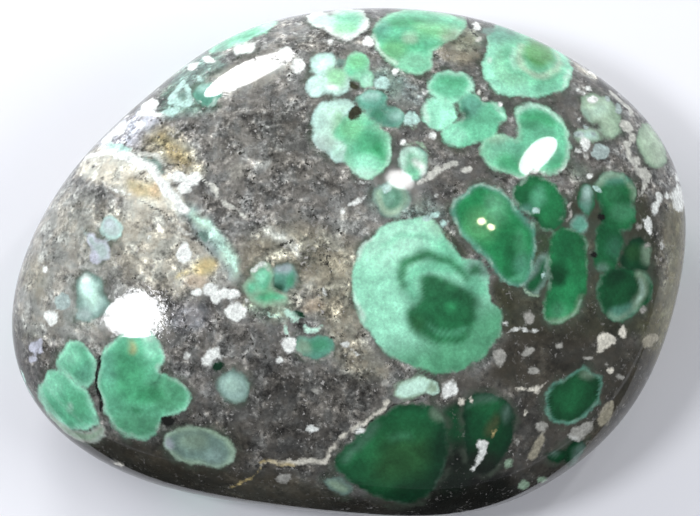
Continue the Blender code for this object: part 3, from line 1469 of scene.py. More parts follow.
TOP_RIGHT_REGION = Region(
    stains=(
        Tint(SAGE, patch(6.2+14.2j, 7.6+14.6j, 8.4+13.6j, 7+13.2j), 0.4),
        Tint(OLIVE, Oval(7.6+12.7j, 0.9, 0.5), 0.4),
        Tint(TAN, Oval(9.6+10j, 0.6, 0.2), 0.3, 0.5),
        Tint(SAGE, Oval(14.4+5.7j, 0.6, 0.5), 0.4, 0.3),
        Tint(SLATE, patch(13.9+11.4j, 14.6+10.4j, 14.3+8j, 14.2+6.2j, 15.6+6.2j, 17.2+7.4j, 17+10.4j,
            15.6+11.2j), 0.4, 0.5),
        Tint(BLACK, Oval(16+11j, 0.6, 0.3, -30), 0.25, 0.7),
        Tint(CREAM, Oval(14.9+11.9j, 0.8, 0.25, -32), 0.25),
    ),
    smooth=(Tint(ROCK, patch(8.2+10.6j, 14.2+10.6j, 14+9.6j, 10.2+9.9j, 9.9+8j, 9.4+9.6j), 0.4),),
    nodules=(
        nodule(
            MINT, MINT,
            patch(8.4+12.2j, 8.7+13.4j, 8.9+14.5j, 10+15.2j, 12+14.8j, 13.6+13j, 14+11.9j, 13.6+10.9j,
                12.4+10.4j, 10.2+10.35j, 9+10.8j),
            Tint(TEAL, Oval(9.5+14.3j, 1.3, 0.7, -10), 0.5, 0.85),
            Tint(JADE, Oval(12.6+11.2j, 1.4, 0.9, 20), 0.6),
            Tint(JADE, patch(9.6+13.4j, 10.2+14j, 11.4+14.4j, 13+13.4j, 13.3+12j, 12.4+11.3j, 11+11.4j,
                10+12j), 0.35, 0.55),
            Tint(LICHEN, line(0.25, 10.9+13.6j, 10.7+12.8j, 11+12.1j, 11.8+11.7j, 12.8+11.8j, 13.2+12.5j,
                13.1+13j), 0.25, 0.75),
            Tint(MINT_WHITE, line(0.15, 10.4+13.3j, 10.3+12.6j, 10.5+12.1j), 0.2, 0.5),
            Tint(LIME, Oval(11.9+13.1j, 1, 0.95), 0.35, 0.85), Tint(MOSS, spot(12+12.8j, 0.4), 0.4, 0.3),
            Tint(WHITE, spot(8.8+12.6j, 0.15), 0.15, 0.7),
            Tint(WHITE, line(0.09, 13.8+12j, 13.7+11.4j, 13.5+11j), 0.12, 0.7), skin=0.4, heart=SEA,
            heart_depth=0.7,
        ),
        nodule(
            LICHEN, SAGE, Oval(15.7+9.5j, 1.1, 0.9), Oval(15.2+10.1j, 0.6, 0.4), Oval(16.4+8.7j, 0.7, 1),
            Oval(15+7.9j, 0.8, 0.5), Tint(SAGE, Oval(16.6+8.8j, 0.5, 0.9), 0.4, 0.8),
            Tint(MINT_WHITE, Oval(15.7+9.5j, 0.6, 0.4, 20), 0.4, 0.5),
            Tint(AQUA, Oval(15.1+7.9j, 0.5, 0.3), 0.25, 0.8),
            Tint(OLIVE, Oval(15.5+8.6j, 0.3, 0.25), 0.25, 0.7), Tint(DUSTY, Oval(14.9+9.2j, 0.3, 0.4)),
            edge_width=0.5, skin=0.2,
        ),
        nodule(
            LICHEN, SAGE, Oval(19+7.3j, 0.95, 1.45, 15), Tint(SAGE, Oval(18.6+7.6j, 0.5, 1, 15), 0.4, 0.4),
            skin=0,
        ),
        nodule(
            JADE, MINT, Oval(6.4+11j, 1.45, 0.98), Tint(GREEN, Oval(6.6+11.3j, 0.9, 0.4), 0.4, 0.4),
            Tint(MINT_WHITE, line(0.12, 7.6+11.7j, 7.8+11.2j, 7.6+10.8j), 0.15), skin=0.5,
        ),
        nodule(
            MINT, MINT, Oval(5.7+9.3j, 1.1, 1.05), Tint(WHITE, line(0.1, 4.8+9.9j, 4.75+9.3j, 5+8.8j), 0.15),
            skin=0.5, seam=DUSTY,
        ),
        nodule(
            JADE, JADE, Oval(8.9+9.2j, 0.95, 0.78), Oval(8.2+8.55j, 1.2, 1), Oval(6.95+7.95j, 1.1, 0.8),
            Oval(7.7+9.8j, 0.85, 0.8), Tint(MINT, Oval(6.6+7.9j, 0.8, 0.6), 0.4, 0.8),
            Tint(TEAL, Oval(7.7+9.8j, 0.75, 0.7), 0.3, 0.9),
            Tint(NIGHT, Oval(7.2+9.2j, 0.35, 0.3, 35), 0.3, 0.9),
            Tint(MINT_WHITE, line(0.1, 9.1+9.8j, 9.5+9.5j, 9.75+9.1j), 0.15, 0.7), skin=0.5, seam=DUSTY,
        ),
        nodule(
            JADE, SEA,
            patch(10.5+9.5j, 11.2+9.95j, 12.2+9.75j, 13.2+9.1j, 13.8+8.1j, 13.9+6.9j, 13.6+5.9j, 12.8+5.5j,
                11.6+5.7j, 10.9+5.3j, 9.6+5.6j, 8.4+6.3j, 8.25+7.1j, 8.8+7.9j, 9.8+8j, 10.5+7.6j, 10.6+8.3j),
            Tint(SEA, Oval(9.2+7j, 1, 0.7, 10), 0.5), Tint(SAGE, Oval(9.4+7.7j, 0.7, 0.35)),
            Tint(TEAL, Oval(9.8+7.2j, 0.9, 0.5, 10), 0.4, 0.4),
            Tint(GREEN, Oval(10.2+6.2j, 0.9, 0.5, -20), 0.4, 0.7),
            Tint(GREEN, line(0.35, 11.1+9.1j, 11.8+9.1j, 12.7+8.7j), 0.35, 0.75),
            Tint(DEEP, Oval(11.4+8.6j, 0.6, 0.3)), Tint(GREEN, spot(13.1+6.1j, 0.5), 0.3, 0.5),
            Tint(MINT_WHITE, line(0.17, 10.6+9.3j, 11.2+9.85j, 12.3+9.6j, 13.3+8.8j), 0.12, 0.8),
            Tint(MINT_WHITE, line(0.08, 13.4+8.8j, 13.8+7.8j, 13.8+6.6j), 0.12),
            Tint(WHITE, line(0.13, 13.7+6.3j, 13.4+5.8j, 13+5.5j), 0.15, 0.7), skin=0.5,
        ),
        nodule(DUSTY, DUSTY, Oval(8.9+14.45j, 0.55, 0.3), skin=0),
    ),
    flecks=(
        flecks(WHITE, Oval(8.05+14.8j, 0.22, 0.3), spot(15+10.85j, 0.22), spot(14.35+10.7j, 0.15),
            spot(14.7+10.55j, 0.15), Oval(15.3+10.2j, 0.4, 0.22), Oval(14.8+7.4j, 0.22, 0.35, 20),
            Oval(14.35+6.95j, 0.22, 0.15, -40), spot(14.95+6.6j, 0.12), spot(5.25+7.9j, 0.22),
            spot(14.4+8.95j, 0.12), spot(3+11.95j, 0.18), Oval(9.45+9.9j, 0.15, 0.1)),
        flecks(PEBBLE, Oval(15.75+6.9j, 0.58, 0.5), Oval(14.5+7.95j, 0.3, 0.25), spot(14.9+8.5j, 0.18),
            Oval(15.3+8j, 0.2, 0.15), Oval(16.9+9.6j, 0.22, 0.35), spot(16.2+10.2j, 0.2)),
        flecks(BONE, line(0.28, 16.5+10.6j, 16.8+10.2j, 17.2+9.9j, 17.7+9.5j, 17.8+9.2j),
            Oval(17.4+8.5j, 0.33, 0.45, 20), Oval(17.75+7.8j, 0.28, 0.35), Oval(17.45+7.3j, 0.28, 0.25),
            line(0.17, 17.5+7.2j, 17.6+6.7j, 17.8+6.2j, 18.1+5.8j), Oval(18.1+6.3j, 0.28, 0.2, -50),
            Oval(18.5+5.5j, 0.5, 0.4, -30), line(0.17, 18.6+5.2j, 18.5+4.7j, 18.4+4.1j),
            spot(8.2+10.7j, 0.14), spot(8.6+10.3j, 0.15), spot(8.2+13.9j, 0.18)),
        flecks(UMBER, spot(17.2+10j, 0.12)),
    ),
    cracks=(line(0.09, 7.4+15.3j, 7.8+14.4j, 8.4+13.9j), line(0.07, 9+5.6j, 9.6+5.15j, 10.1+4.8j)),
)

TOP_REGION = Region(
    # smoothed, paler rock under the ceiling window's highlight: partly painted highlight
    painted_highlight_beds=(Tint(ROCK, Oval(3.1+5.3j, 1.9, 1.4, -30), 0.5, 0.95),),
    smooth=(
        Tint(SLATE, patch(1.9+5j, 5+3.4j, 7+4.6j, 9.4+5j, 13.2+5.2j, 14.4+10.6j, 9+10.4j, 8.4+13.6j, 7+12.6j,
            5.4+11j, 3.2+10.8j, 3.2+8.2j), 0.5, 0.5),
        Tint(TAN, patch(5.6+13.2j, 6.4+14.2j, 7.6+14.6j, 8.2+13j, 6.8+12.4j), 0.4),
    ),
    stains=(
        Tint(GREY, patch(-3+14.6j, 0.8+13.9j, 1+13.2j, -1.8+13.3j, -3.2+13.6j), 0.4, 0.2),
        Tint(PEBBLE, Oval(3.8+10.4j, 1, 0.8), 0.4, 0.5),
        Tint(DUSTY, patch(1.6+12j, 3+12j, 3.6+11.2j, 2.8+10.2j, 1.7+10.8j), 0.4, 0.7),
        Tint(TAN, Oval(7+7j, 0.7, 0.3), 0.3, 0.4),
        Tint(SLATE, patch(5.6+4.6j, 8.4+5.6j, 8+8j, 9+5.4j, 7.4+4.6j, 6.2+3.4j), 0.5),
        Tint(DUSTY, patch(1.6+5.2j, 3.6+5.1j, 5.2+4j, 6.2+3j, 5+2.6j, 3.4+2.8j, 1.4+3.4j), 0.4, 0.5),
    ),
    nodules=(
        nodule(
            MINT, WHITE, Oval(-0.1+15j, 1.35, 1.1), Oval(-1.4+15.15j, 1.2, 0.62, -10),
            Tint(MINT_WHITE, Oval(-1.5+15.1j, 0.9, 0.5), 0.3, 0.8),
            Tint(JADE, Oval(0.1+15.3j, 0.9, 0.5), 0.5, 0.7), Tint(SPRING, Oval(-0.1+14.6j, 0.9, 0.4), 0.4),
            Tint(SLATE, spot(-1.1+15.5j, 0.2), 0.15, 0.8), edge_width=0.7, skin=0.3,
        ),
        nodule(
            JADE, SEA,
            patch(1.5+14.5j, 2.2+15.3j, 3.6+15.9j, 6+15.6j, 7.4+15j, 7+14.2j, 6+13.6j, 5.2+13j, 5.3+12.2j,
                4.6+11.7j, 3.7+11.8j, 2.8+12.3j, 1.9+13.1j, 1.6+13.8j),
            Tint(GREEN, Oval(3.5+13.5j, 1.2, 0.6, 5), 0.5, 0.5),
            Tint(GREEN, Oval(3.6+15j, 1.2, 0.35, 5), 0.35, 0.8),
            Tint(TEAL, Oval(2.1+14.6j, 0.6, 0.5), 0.4, 0.8),
            Tint(SPRING, Oval(5.2+14.5j, 1.1, 0.5, -5), 0.5, 0.7),
            Tint(SPRING, Oval(2.9+13.2j, 0.8, 0.7), 0.4), Tint(SEA, Oval(4.1+12.5j, 1, 0.5), 0.4, 0.8),
            Tint(LICHEN, Oval(3.9+14j, 0.5, 0.35)), Tint(TAN, Oval(6.4+14.2j, 0.7, 0.4, 30), 0.5),
            Tint(SAGE, Oval(6.7+14j, 0.6, 0.4, 20), 0.4, 0.7),
            Tint(GREEN, line(0.08, 4.9+13.4j, 5.6+13.6j, 6.2+13.5j), 0.15),
            Tint(WHITE, line(0.12, 1.5+14.2j, 1.8+13.4j, 2.4+12.8j, 3+12.4j), 0.12, 0.7), skin=0.4,
        ),
        nodule(
            MINT_WHITE, AQUA, spot(-1.5+12.4j, 0.75), Oval(-0.8+11.2j, 0.95, 0.85), spot(-1.9+11.2j, 0.6),
            Oval(-2.1+10.8j, 0.5, 0.45), Tint(SPRING, Oval(-0.7+11.6j, 0.65, 0.6), 0.35, 0.75),
            Tint(WHITE, Oval(-1+10.9j, 0.4, 0.2), 0.15, 0.8),
            Tint(LAVENDER, Oval(-2.2+10.9j, 0.4, 0.3), 0.3, 0.4), skin=0.5,
        ),
        nodule(
            JADE, SEA, Oval(0.6+12.4j, 0.78, 0.72), spot(1.1+11.5j, 0.55), spot(0.2+11.9j, 0.5),
            Tint(SPRING, Oval(0.6+12.5j, 0.6, 0.5), 0.4), Tint(MINT_WHITE, spot(1.2+11.4j, 0.35)), skin=0.4,
            seam=SAGE,
        ),
        nodule(
            DUSTY, DUSTY, Oval(-0.5+12.45j, 0.32, 0.36), Tint(SLATE, spot(-0.4+12.2j, 0.15), 0.12, 0.7),
            skin=0.1,
        ),
        nodule(
            JADE, SEA, Oval(1.2+7j, 1.5, 1.75), Oval(0+8.2j, 1.2, 1.1), Oval(1+8.7j, 0.9, 0.6),
            Tint(SPRING, Oval(0.2+8.3j, 0.8, 0.7), 0.4, 0.5),
            Tint(GREEN, Oval(1.4+7.4j, 0.9, 0.75), 0.5, 0.55),
            Tint(GREEN, Oval(1.9+6.8j, 0.4, 0.7, 15), 0.3, 0.7), Tint(MINT, Oval(1+6.1j, 1, 0.55), 0.4, 0.8),
            Tint(MINT_WHITE, Oval(0.9+5.55j, 0.9, 0.3)),
            Tint(MINT_WHITE, line(0.12, 2.5+8j, 2.7+7.1j, 2.4+6.2j), 0.2), edge_width=0.7, skin=0.4,
        ),
        nodule(
            MINT_WHITE, AQUA, Oval(-1.2+8.9j, 1.05, 1.1), spot(-1.4+7.8j, 0.8), spot(-0.6+7j, 0.7),
            Oval(-0.4+9.7j, 0.75, 0.45), Tint(SAGE, Oval(-1.4+7.4j, 0.5, 0.4), 0.3, 0.5),
            Tint(SPRING, Oval(-0.6+8.5j, 0.35, 0.9)), Tint(PEBBLE, Oval(-1.7+7.4j, 0.5, 0.6), 0.4),
            Tint(TEAL, Oval(-0.6+6.9j, 0.4, 0.3), 0.3, 0.4), Tint(AQUA, Oval(-1.7+8.9j, 0.4, 0.6), 0.3, 0.5),
            skin=0.5,
        ),
        nodule(
            TEAL, TEAL, Oval(1.5+10.1j, 0.98, 0.7), Oval(1.8+9.2j, 0.7, 0.6), Oval(2.8+9j, 0.75, 0.6),
            Tint(AQUA, Oval(1.4+10.4j, 0.6, 0.25)), Tint(DEEP, Oval(1.9+9.2j, 0.5, 0.4), 0.4, 0.55),
            Tint(AQUA, Oval(3+9.1j, 0.4, 0.3), 0.3, 0.5), skin=0.4, seam=DUSTY,
        ),
        nodule(
            SEA, DUSTY, Oval(4.1+6.2j, 0.9, 1.1),
            Tint(MINT_WHITE, line(0.3, 3.4+6j, 3.5+6.8j, 4+7.1j, 4.5+6.7j), 0.25, 0.95),
            Tint(WHITE, line(0.26, 4.2+6.3j, 4.6+5.9j, 4.7+5.5j), 0.25, 0.85),
            Tint(TEAL, spot(4.6+7j, 0.3), 0.25, 0.5), Tint(JADE, Oval(4.1+5.6j, 0.35, 0.3), 0.25),
            edge_width=0.3, skin=0.4,
        ),
        nodule(
            SAGE, DUSTY, spot(2.7+3.95j, 1.15), Tint(TEAL, Oval(2.75+4j, 0.75, 0.8), 0.3, 0.7),
            Tint(PINE, line(0.12, 2.3+4.4j, 2.7+4.6j, 3.1+4.2j, 3.05+3.6j, 2.6+3.4j), 0.22),
            Tint(LICHEN, line(0.14, 2+4j, 2.1+3.5j, 2.6+3.1j, 3.3+3.2j), 0.22),
            Tint(AQUA, Oval(2.3+4.75j, 0.35, 0.2), 0.22), edge_width=0.35, skin=0.3,
        ),
    ),
    flecks=(
        flecks(AQUA, Oval(2.15+11.2j, 0.45, 0.42), Oval(4+9j, 0.52, 0.48), Oval(2.4+4.6j, 0.3, 0.25),
            Oval(4.9+2.65j, 0.35, 0.22), Oval(5.5+3j, 0.3, 0.22), Oval(6+2.4j, 0.25, 0.2)),
        flecks(WHITE, Oval(1.3+13.8j, 0.25, 0.32), spot(3.45+7.45j, 0.14), Oval(0.85+5j, 0.25, 0.08),
            spot(-3.9+13j, 0.45), line(0.05, -2.2+7.7j, -2.15+7.3j, -1.85+7.15j),
            Oval(-1+13.8j, 0.2, 0.12, 30), spot(4.9+10.6j, 0.15)),
        flecks(BONE, line(0.2, 4.45+4.95j, 4.9+5.2j), spot(5.2+5.45j, 0.27), spot(5.6+5.8j, 0.26), line(0.2,
            5.8+5.85j, 6.4+6j, 6.85+6.15j), Oval(7.4+5.8j, 0.28, 0.18)),
        flecks(SAGE, line(0.07, 3.6+7.3j, 4.3+7.55j, 4.9+7.1j, 5+6.5j), line(0.05, 3.6+8.5j, 4.1+8.3j,
            4.5+8.6j)),
        flecks(OLIVE, Oval(0.4+9.3j, 0.4, 0.35, 20), spot(0.35+11j, 0.25)),
    ),
    cracks=(line(0.06, 2.4+8.2j, 2.9+7.8j, 3.2+7.6j), line(0.05, -2.3+8.3j, -2.2+7.4j, -1.6+6.9j, -1+6.4j)),
)

TOP_LEFT_REGION = Region(
    # smoothed, paler grey rock under the back window's highlight: partly painted highlight
    painted_highlight_beds=(Tint(GREY, Oval(-6.3+11.7j, 2.5, 0.8, 12), 0.5, 0.9),),
    stains=(
        Tint(GREY, patch(-12+12.4j, -6+15.4j, -2.6+15.4j, -3+12.6j, -6+13j, -9.5+11.2j), 0.5, 0.15),
        Tint(DUSTY, patch(-11.9+9.4j, -10.6+12j, -8.4+13.2j, -7.6+12j, -8.6+11j, -8.2+9.6j, -9.6+9.3j),
            0.4, 0.9),
        Tint(NIGHT, Oval(-11.4+10.4j, 0.35, 0.8, -40), 0.35, 0.7),
        Tint(LAVENDER, patch(-14.6+8.4j, -12.6+9.6j, -11.8+8.8j, -12.8+7.4j, -14.4+7.2j, -15.6+7.2j), 0.4),
        Tint(SLATE, patch(-9.4+9.3j, -5+10.2j, -0.8+6.6j, -0.4+2.4j, -2.6+1.2j, -7.6+4.6j, -9.8+6.8j),
            0.8, 0.2),
        Tint(UMBER, patch(-4.4+9.6j, -2.4+9.6j, -1.6+6.6j, -0.6+4.4j, -4.6+5.6j), 0.8, 0.35),
        Tint(TAN, patch(-12.9+8j, -11+8.4j, -9.2+6.2j, -9+5.4j, -10.6+5.6j, -12.6+6.8j), 0.4, 0.75),
        Tint(OCHRE, patch(-12.3+7.7j, -11.4+8j, -10.8+7.3j, -9.7+6.3j, -10.6+6.1j, -11.4+7j), 0.3, 0.5),
        Tint(SLATE, patch(-18.2+4.2j, -16.8+5j, -15.8+4.4j, -15.8+3.4j, -17.6+3j), 0.7, 0.55),
        Tint(GREY, Oval(-6.9+5.7j, 0.6, 0.5), 0.3, 0.5),
        Tint(GREY, Oval(-5.2+6.1j, 0.5, 0.35), 0.3, 0.5),
    ),
    smooth=(
        Tint(CREAM, patch(-17+5.8j, -15.4+7.2j, -12.2+6.2j, -10.8+4.6j, -10.4+3.4j, -12+3.2j, -13.6+3.8j,
            -15+4.8j), 0.4, 0.75),
        Tint(CREAM, patch(-13.6+3.8j, -10.4+3.4j, -9.8+1.6j, -8.2+0.4j, -8-1.6j, -10.6-2.2j, -13.2-0.6j,
            -14.2+1.6j), 0.5, 0.38),
        Tint(OCHRE, patch(-13.8+5.1j, -12+4.9j, -11.7+4j, -12.8+4j, -13.6+4.4j)),
        Tint(PEACH, Oval(-12.1+4.5j, 0.35, 0.5), 0.25, 0.5),
        Tint(PEBBLE, line(0.55, -10.2+3.4j, -9.2+2.2j, -8.2+1j, -7.4-0.2j, -7-1j), 0.35),
        Tint(MINT_WHITE, line(0.34, -9.8+3j, -8.9+2.2j, -8+1.2j, -7.3+0.2j, -7-0.7j), 0.3, 0.7),
        Tint(OCHRE, Oval(-8.9-0.3j, 0.85, 0.55, 15), 0.3, 0.75),
        Tint(OCHRE, Oval(-10.3-0.8j, 0.5, 0.2, 15), 0.2, 0.65),
        Tint(PEACH, Oval(-9.4-1.2j, 0.7, 0.4), 0.3, 0.55),
    ),
    nodules=(
        nodule(
            JADE, MINT, Oval(-6.6+14.15j, 2.3, 0.5, 25),
            Tint(MINT_WHITE, Oval(-5+14.85j, 0.6, 0.3, 20), 0.3, 0.9),
            Tint(DUSTY, Oval(-7.9+13.3j, 0.6, 0.4, 30), 0.3, 0.7), skin=0,
        ),
        nodule(MINT_WHITE, WHITE, Oval(-6.5+13.35j, 0.7, 0.35, 10), skin=0.2),
        nodule(
            TEAL, TEAL, Oval(-8.75+10.45j, 0.85, 0.78), Tint(AQUA, Oval(-8.9+10.9j, 0.5, 0.3), 0.3, 0.7),
            Tint(WHITE, line(0.1, -8.7+9.75j, -8.3+9.9j, -8.25+10.3j), 0.12, 0.7), skin=0.2,
        ),
    ),
    flecks=(
        flecks(AQUA, line(0.26, -10.3+11.3j, -10.8+10.6j, -10.95+10.1j, -10.3+9.85j, -9.9+9.9j, -9.95+10.6j,
            -10.3+11.2j), Oval(-11.1+9.4j, 0.5, 0.18), spot(-9.3+11.5j, 0.22),
            Oval(-14.3+7.1j, 0.8, 0.28, -10)),
        flecks(WHITE, Oval(-8.7+12.65j, 0.4, 0.2, -20), Oval(-9.7+12.25j, 0.35, 0.25, 30),
            Oval(-12.4+9.8j, 0.55, 0.35, 20), Oval(-12.7+9.3j, 0.5, 0.2), Oval(-11.9+9.2j, 0.5, 0.16),
            Oval(-14.4+8.25j, 0.9, 0.3, 32), Oval(-12.9+8.6j, 0.35, 0.22), Oval(-15+7.6j, 0.4, 0.3, 30),
            Oval(-10.6+5.3j, 0.55, 0.35), Oval(-9.75+5.15j, 0.5, 0.35, 20), Oval(-10.2+4.65j, 0.45, 0.35),
            line(0.12, -14.9+4.6j, -14.2+4.4j, -13.6+4.15j), Oval(-10.25+0.55j, 0.52, 0.62), line(0.08,
            -10.6+2.15j, -10.2+1.9j, -9.8+1.75j), spot(-3.15+12.25j, 0.5)),
        flecks(WHITE, line(0.3, -16.4+6.5j, -15+6.9j, -13.6+6.5j, -12.6+6j, -11.8+5.2j, -11.2+4.4j,
            -10.6+3.7j, -10.1+3.1j)),
        flecks(BONE, line(0.13, -13.2+6.9j, -12.3+6.75j, -11.6+6.35j, -11.1+5.9j), line(0.13, -9.3+5.4j,
            -8.6+4.8j, -8.1+4.2j, -7.3+3.4j, -6.3+2.75j), line(0.1, -10.8+2.3j, -10.3+1.9j, -9.8+1.7j)),
        flecks(MINT_WHITE, line(0.16, -9.6+2.9j, -9.1+2.6j, -8.6+2.2j), line(0.14, -8.3+1.8j, -7.9+1.4j),
            line(0.17, -7.8+1j, -7.3+0.3j, -7-0.5j)),
        flecks(LAVENDER, Oval(-13.9+8.65j, 0.35, 0.2), Oval(-15.8+0.3j, 0.25, 0.4, 30)),
        flecks(DUSTY, line(0.2, -12.6+6.5j, -12+6.15j, -11.5+5.7j), Oval(-10.4+10.45j, 0.28, 0.14, 30),
            Oval(-9+1.6j, 0.45, 0.3, -30)),
        flecks(SLATE, Oval(-9.6+1.5j, 0.25, 0.15), Oval(-10.9+4.75j, 0.24, 0.15), spot(-16.3+6.2j, 0.12),
            spot(-15.9+6j, 0.12), spot(-15.4+5.2j, 0.13), spot(-3.15+12.25j, 0.14),
            Oval(-7.8+12.55j, 0.3, 0.1, -20)),
    ),
    cracks=(
        line(0.07, -13.6+4j, -12.6+3.6j, -11.6+3.1j, -11+2.5j, -10.5+2.2j),
        line(0.08, -9.6+1.5j, -8.9+0.9j, -8.2+0.2j),
        line(0.08, -7.2+4.3j, -6.4+3.4j, -5.6+2.6j, -4.9+2j),
        line(0.07, -6.9+4.4j, -5.8+3.3j),
        line(0.08, -13.4+6.8j, -13+6.6j),
    ),
)

MIDDLE_REGION = Region(
    stains=(
        Tint(TAN, patch(-6.6+1.2j, -4+2j, 0.6+1j, 0.4-3.4j, -3-3j, -6.4-2.6j), 0.8, 0.55),
        Tint(OLIVE, Oval(-1.6+0j, 1, 0.6, -20), 0.5, 0.3),
        Tint(BONE, line(0.28, -5+1.9j, -4.3+1.6j, -3.6+1.2j, -3.1+0.5j), 0.3, 0.8),
        Tint(PEACH, Oval(-2.2-2.6j, 0.6, 0.5), 0.4, 0.3),
        Tint(SLATE, patch(-11.6-2.6j, -7.8-2.4j, -7.4-3.8j, -4.6-4.4j, -4-6.8j, -9.8-7j, -11.4-4.6j),
            0.6, 0.45),
        Tint(LAVENDER, Oval(-9.9-3.4j, 1.2, 0.8), 0.6, 0.2),
        Tint(SAGE, Oval(-4.9-2.9j, 1.4, 0.7, -10), 0.5, 0.45),
        Tint(GREY, patch(-0.6+3j, 0.8+3.4j, 1.4+2.6j, 0.6+1.8j, -0.8+2.2j), 0.4, 0.35),
    ),
    smooth=(Tint(GREY, Oval(-2.7-1.9j, 0.7, 0.9), 0.4, 0.35),),
    nodules=(
        nodule(
            JADE, SAGE, Oval(-5.3-1.1j, 0.78, 0.95), Oval(-6-1.6j, 0.55, 0.6), Oval(-4.9-2.25j, 1.15, 0.45),
            Tint(MINT, spot(-5.4-0.9j, 0.35), 0.2, 0.7), Tint(GREEN, Oval(-5-2.1j, 0.6, 0.35)),
            edge_width=0.5, skin=0.1,
        ),
        nodule(
            TEAL, DUSTY, Oval(-4-1j, 0.85, 0.88), Tint(LAVENDER, Oval(-4-0.45j, 0.5, 0.22), 0.2, 0.7),
            Tint(NIGHT, Oval(-4.4-1.7j, 0.45, 0.35, 20), 0.25, 0.95),
            Tint(GREEN, spot(-3.6-1.2j, 0.3), 0.2, 0.5), edge_width=0.3, skin=0.3, seam=NIGHT,
        ),
        nodule(
            TEAL, TEAL,
            patch(-3.2-4.75j, -2.4-4.65j, -1.2-4.75j, -0.85-5.2j, -1.3-5.8j, -2.1-6.05j, -3-5.7j, -3.3-5.2j),
            Tint(SAGE, Oval(-2.8-5.3j, 0.45, 0.5), 0.3, 0.8),
            Tint(GREEN, Oval(-1.8-5.2j, 0.6, 0.4), 0.3, 0.5), skin=0.1,
        ),
        nodule(
            AQUA, DUSTY, Oval(-7.2-7.8j, 1, 1.02), Tint(DUSTY, spot(-7.2-7.8j, 1), 0.5, 0.5),
            Tint(MINT_WHITE, Oval(-7.3-7.7j, 0.5, 0.45), 0.4, 0.5), edge_width=0.35, skin=0.3,
        ),
        nodule(
            DUSTY, SAGE, Oval(-9.4-11.5j, 2.15, 1.2, -8), Oval(-8.3-11.9j, 1.2, 1),
            Tint(AQUA, Oval(-8.3-12.2j, 0.6, 0.5), 0.4, 0.45), Tint(SAGE, Oval(-9.7-11.2j, 0.9, 0.5), 0.4),
            Tint(LAVENDER, Oval(-11.2-11.4j, 0.3, 0.4), 0.2), skin=0.5,
        ),
    ),
    flecks=(
        flecks(WHITE, Oval(-8.6-1.75j, 0.5, 0.42), Oval(-7.5-2j, 0.75, 0.35), Oval(-7-3.1j, 0.65, 0.58),
            spot(-8.3-2.2j, 0.35), Oval(-9.5-1.9j, 0.32, 0.22), spot(-3.7-5.15j, 0.5),
            Oval(-4.3-6.1j, 0.25, 0.2), Oval(-8.4-5.7j, 0.45, 0.28, 30), Oval(-8.85-6.15j, 0.25, 0.3),
            line(0.07, -8.1-5.9j, -7.6-5.9j, -7.2-6j), Oval(-10.1-5.8j, 0.22, 0.15, 40),
            Oval(-0.15-5.15j, 0.28, 0.2), line(0.05, 0-5.3j, 0.5-5.6j, 0.95-5.95j),
            Oval(-1.5-1.85j, 0.12, 0.16), line(0.1, -5.9-0.5j, -5.4-0.22j, -4.95-0.45j), line(0.13, 0.15+3.5j,
            0.6+3.8j, 1+4.05j), Oval(-0.4+3.15j, 0.22, 0.14, 30), Oval(-3.2+0.9j, 0.12, 0.2),
            spot(-6.3-2.45j, 0.1), Oval(-2.2-10.4j, 0.42, 0.2), spot(-12.45+1.45j, 0.1)),
        flecks(MINT_WHITE, line(0.17, -3.9-3j, -3.5-3.4j, -3.1-3.75j), line(0.17, -2.8-4.05j, -2.3-4.25j,
            -1.7-4.05j), Oval(-3.9-4.2j, 0.15, 0.3), line(0.06, -5.2-3.1j, -4.8-3.4j, -4.3-3.2j)),
        flecks(GREY, line(0.09, -3.2-5.6j, -2.7-6.05j, -2-6.2j, -1.4-6j, -1-5.6j), line(0.07, -8.15-0.9j,
            -7.95-0.65j, -7.65-0.7j, -7.55-0.95j), Oval(-7.7-1.3j, 0.42, 0.22), Oval(-4-13.5j, 0.45, 0.28),
            line(0.05, -3-2.9j, -2.6-3.1j), spot(-10.15-5.9j, 0.12)),
        flecks(CREAM, line(0.13, -5.5-12.7j, -4.5-12.5j, -3-12.5j, -1.5-12.4j, -1.1-11.8j, -0.5-11j,
            0.5-10.4j, 1.5-9.7j, 2.3-9.1j, 2.5-8.7j), spot(-1.2-12j, 0.2), Oval(1-10.1j, 0.3, 0.16, 30),
            Oval(-14.4-12.6j, 0.35, 0.1, -20)),
        flecks(OCHRE, line(0.13, -5.6-12.5j, -4.9-12.45j, -4.2-12.6j, -3.4-12.65j), line(0.08, -5.5-12.9j,
            -5.8-13.4j, -6.8-13.8j, -7.4-14.1j)),
        flecks(NIGHT, Oval(-3-3.3j, 0.42, 0.25, -15), Oval(-8.2-6.5j, 0.45, 0.28)),
        flecks(SLATE, spot(-0.2-5.15j, 0.09)),
    ),
    cracks=(
        line(0.05, -3.6-1.8j, -3-2j, -2.4-2.4j),
        line(0.06, -0.6-7.2j, 0.6-7j, 1.6-7.6j),
        line(0.05, -6.8-4.6j, -5.6-4.7j, -4.6-4.3j),
    ),
)

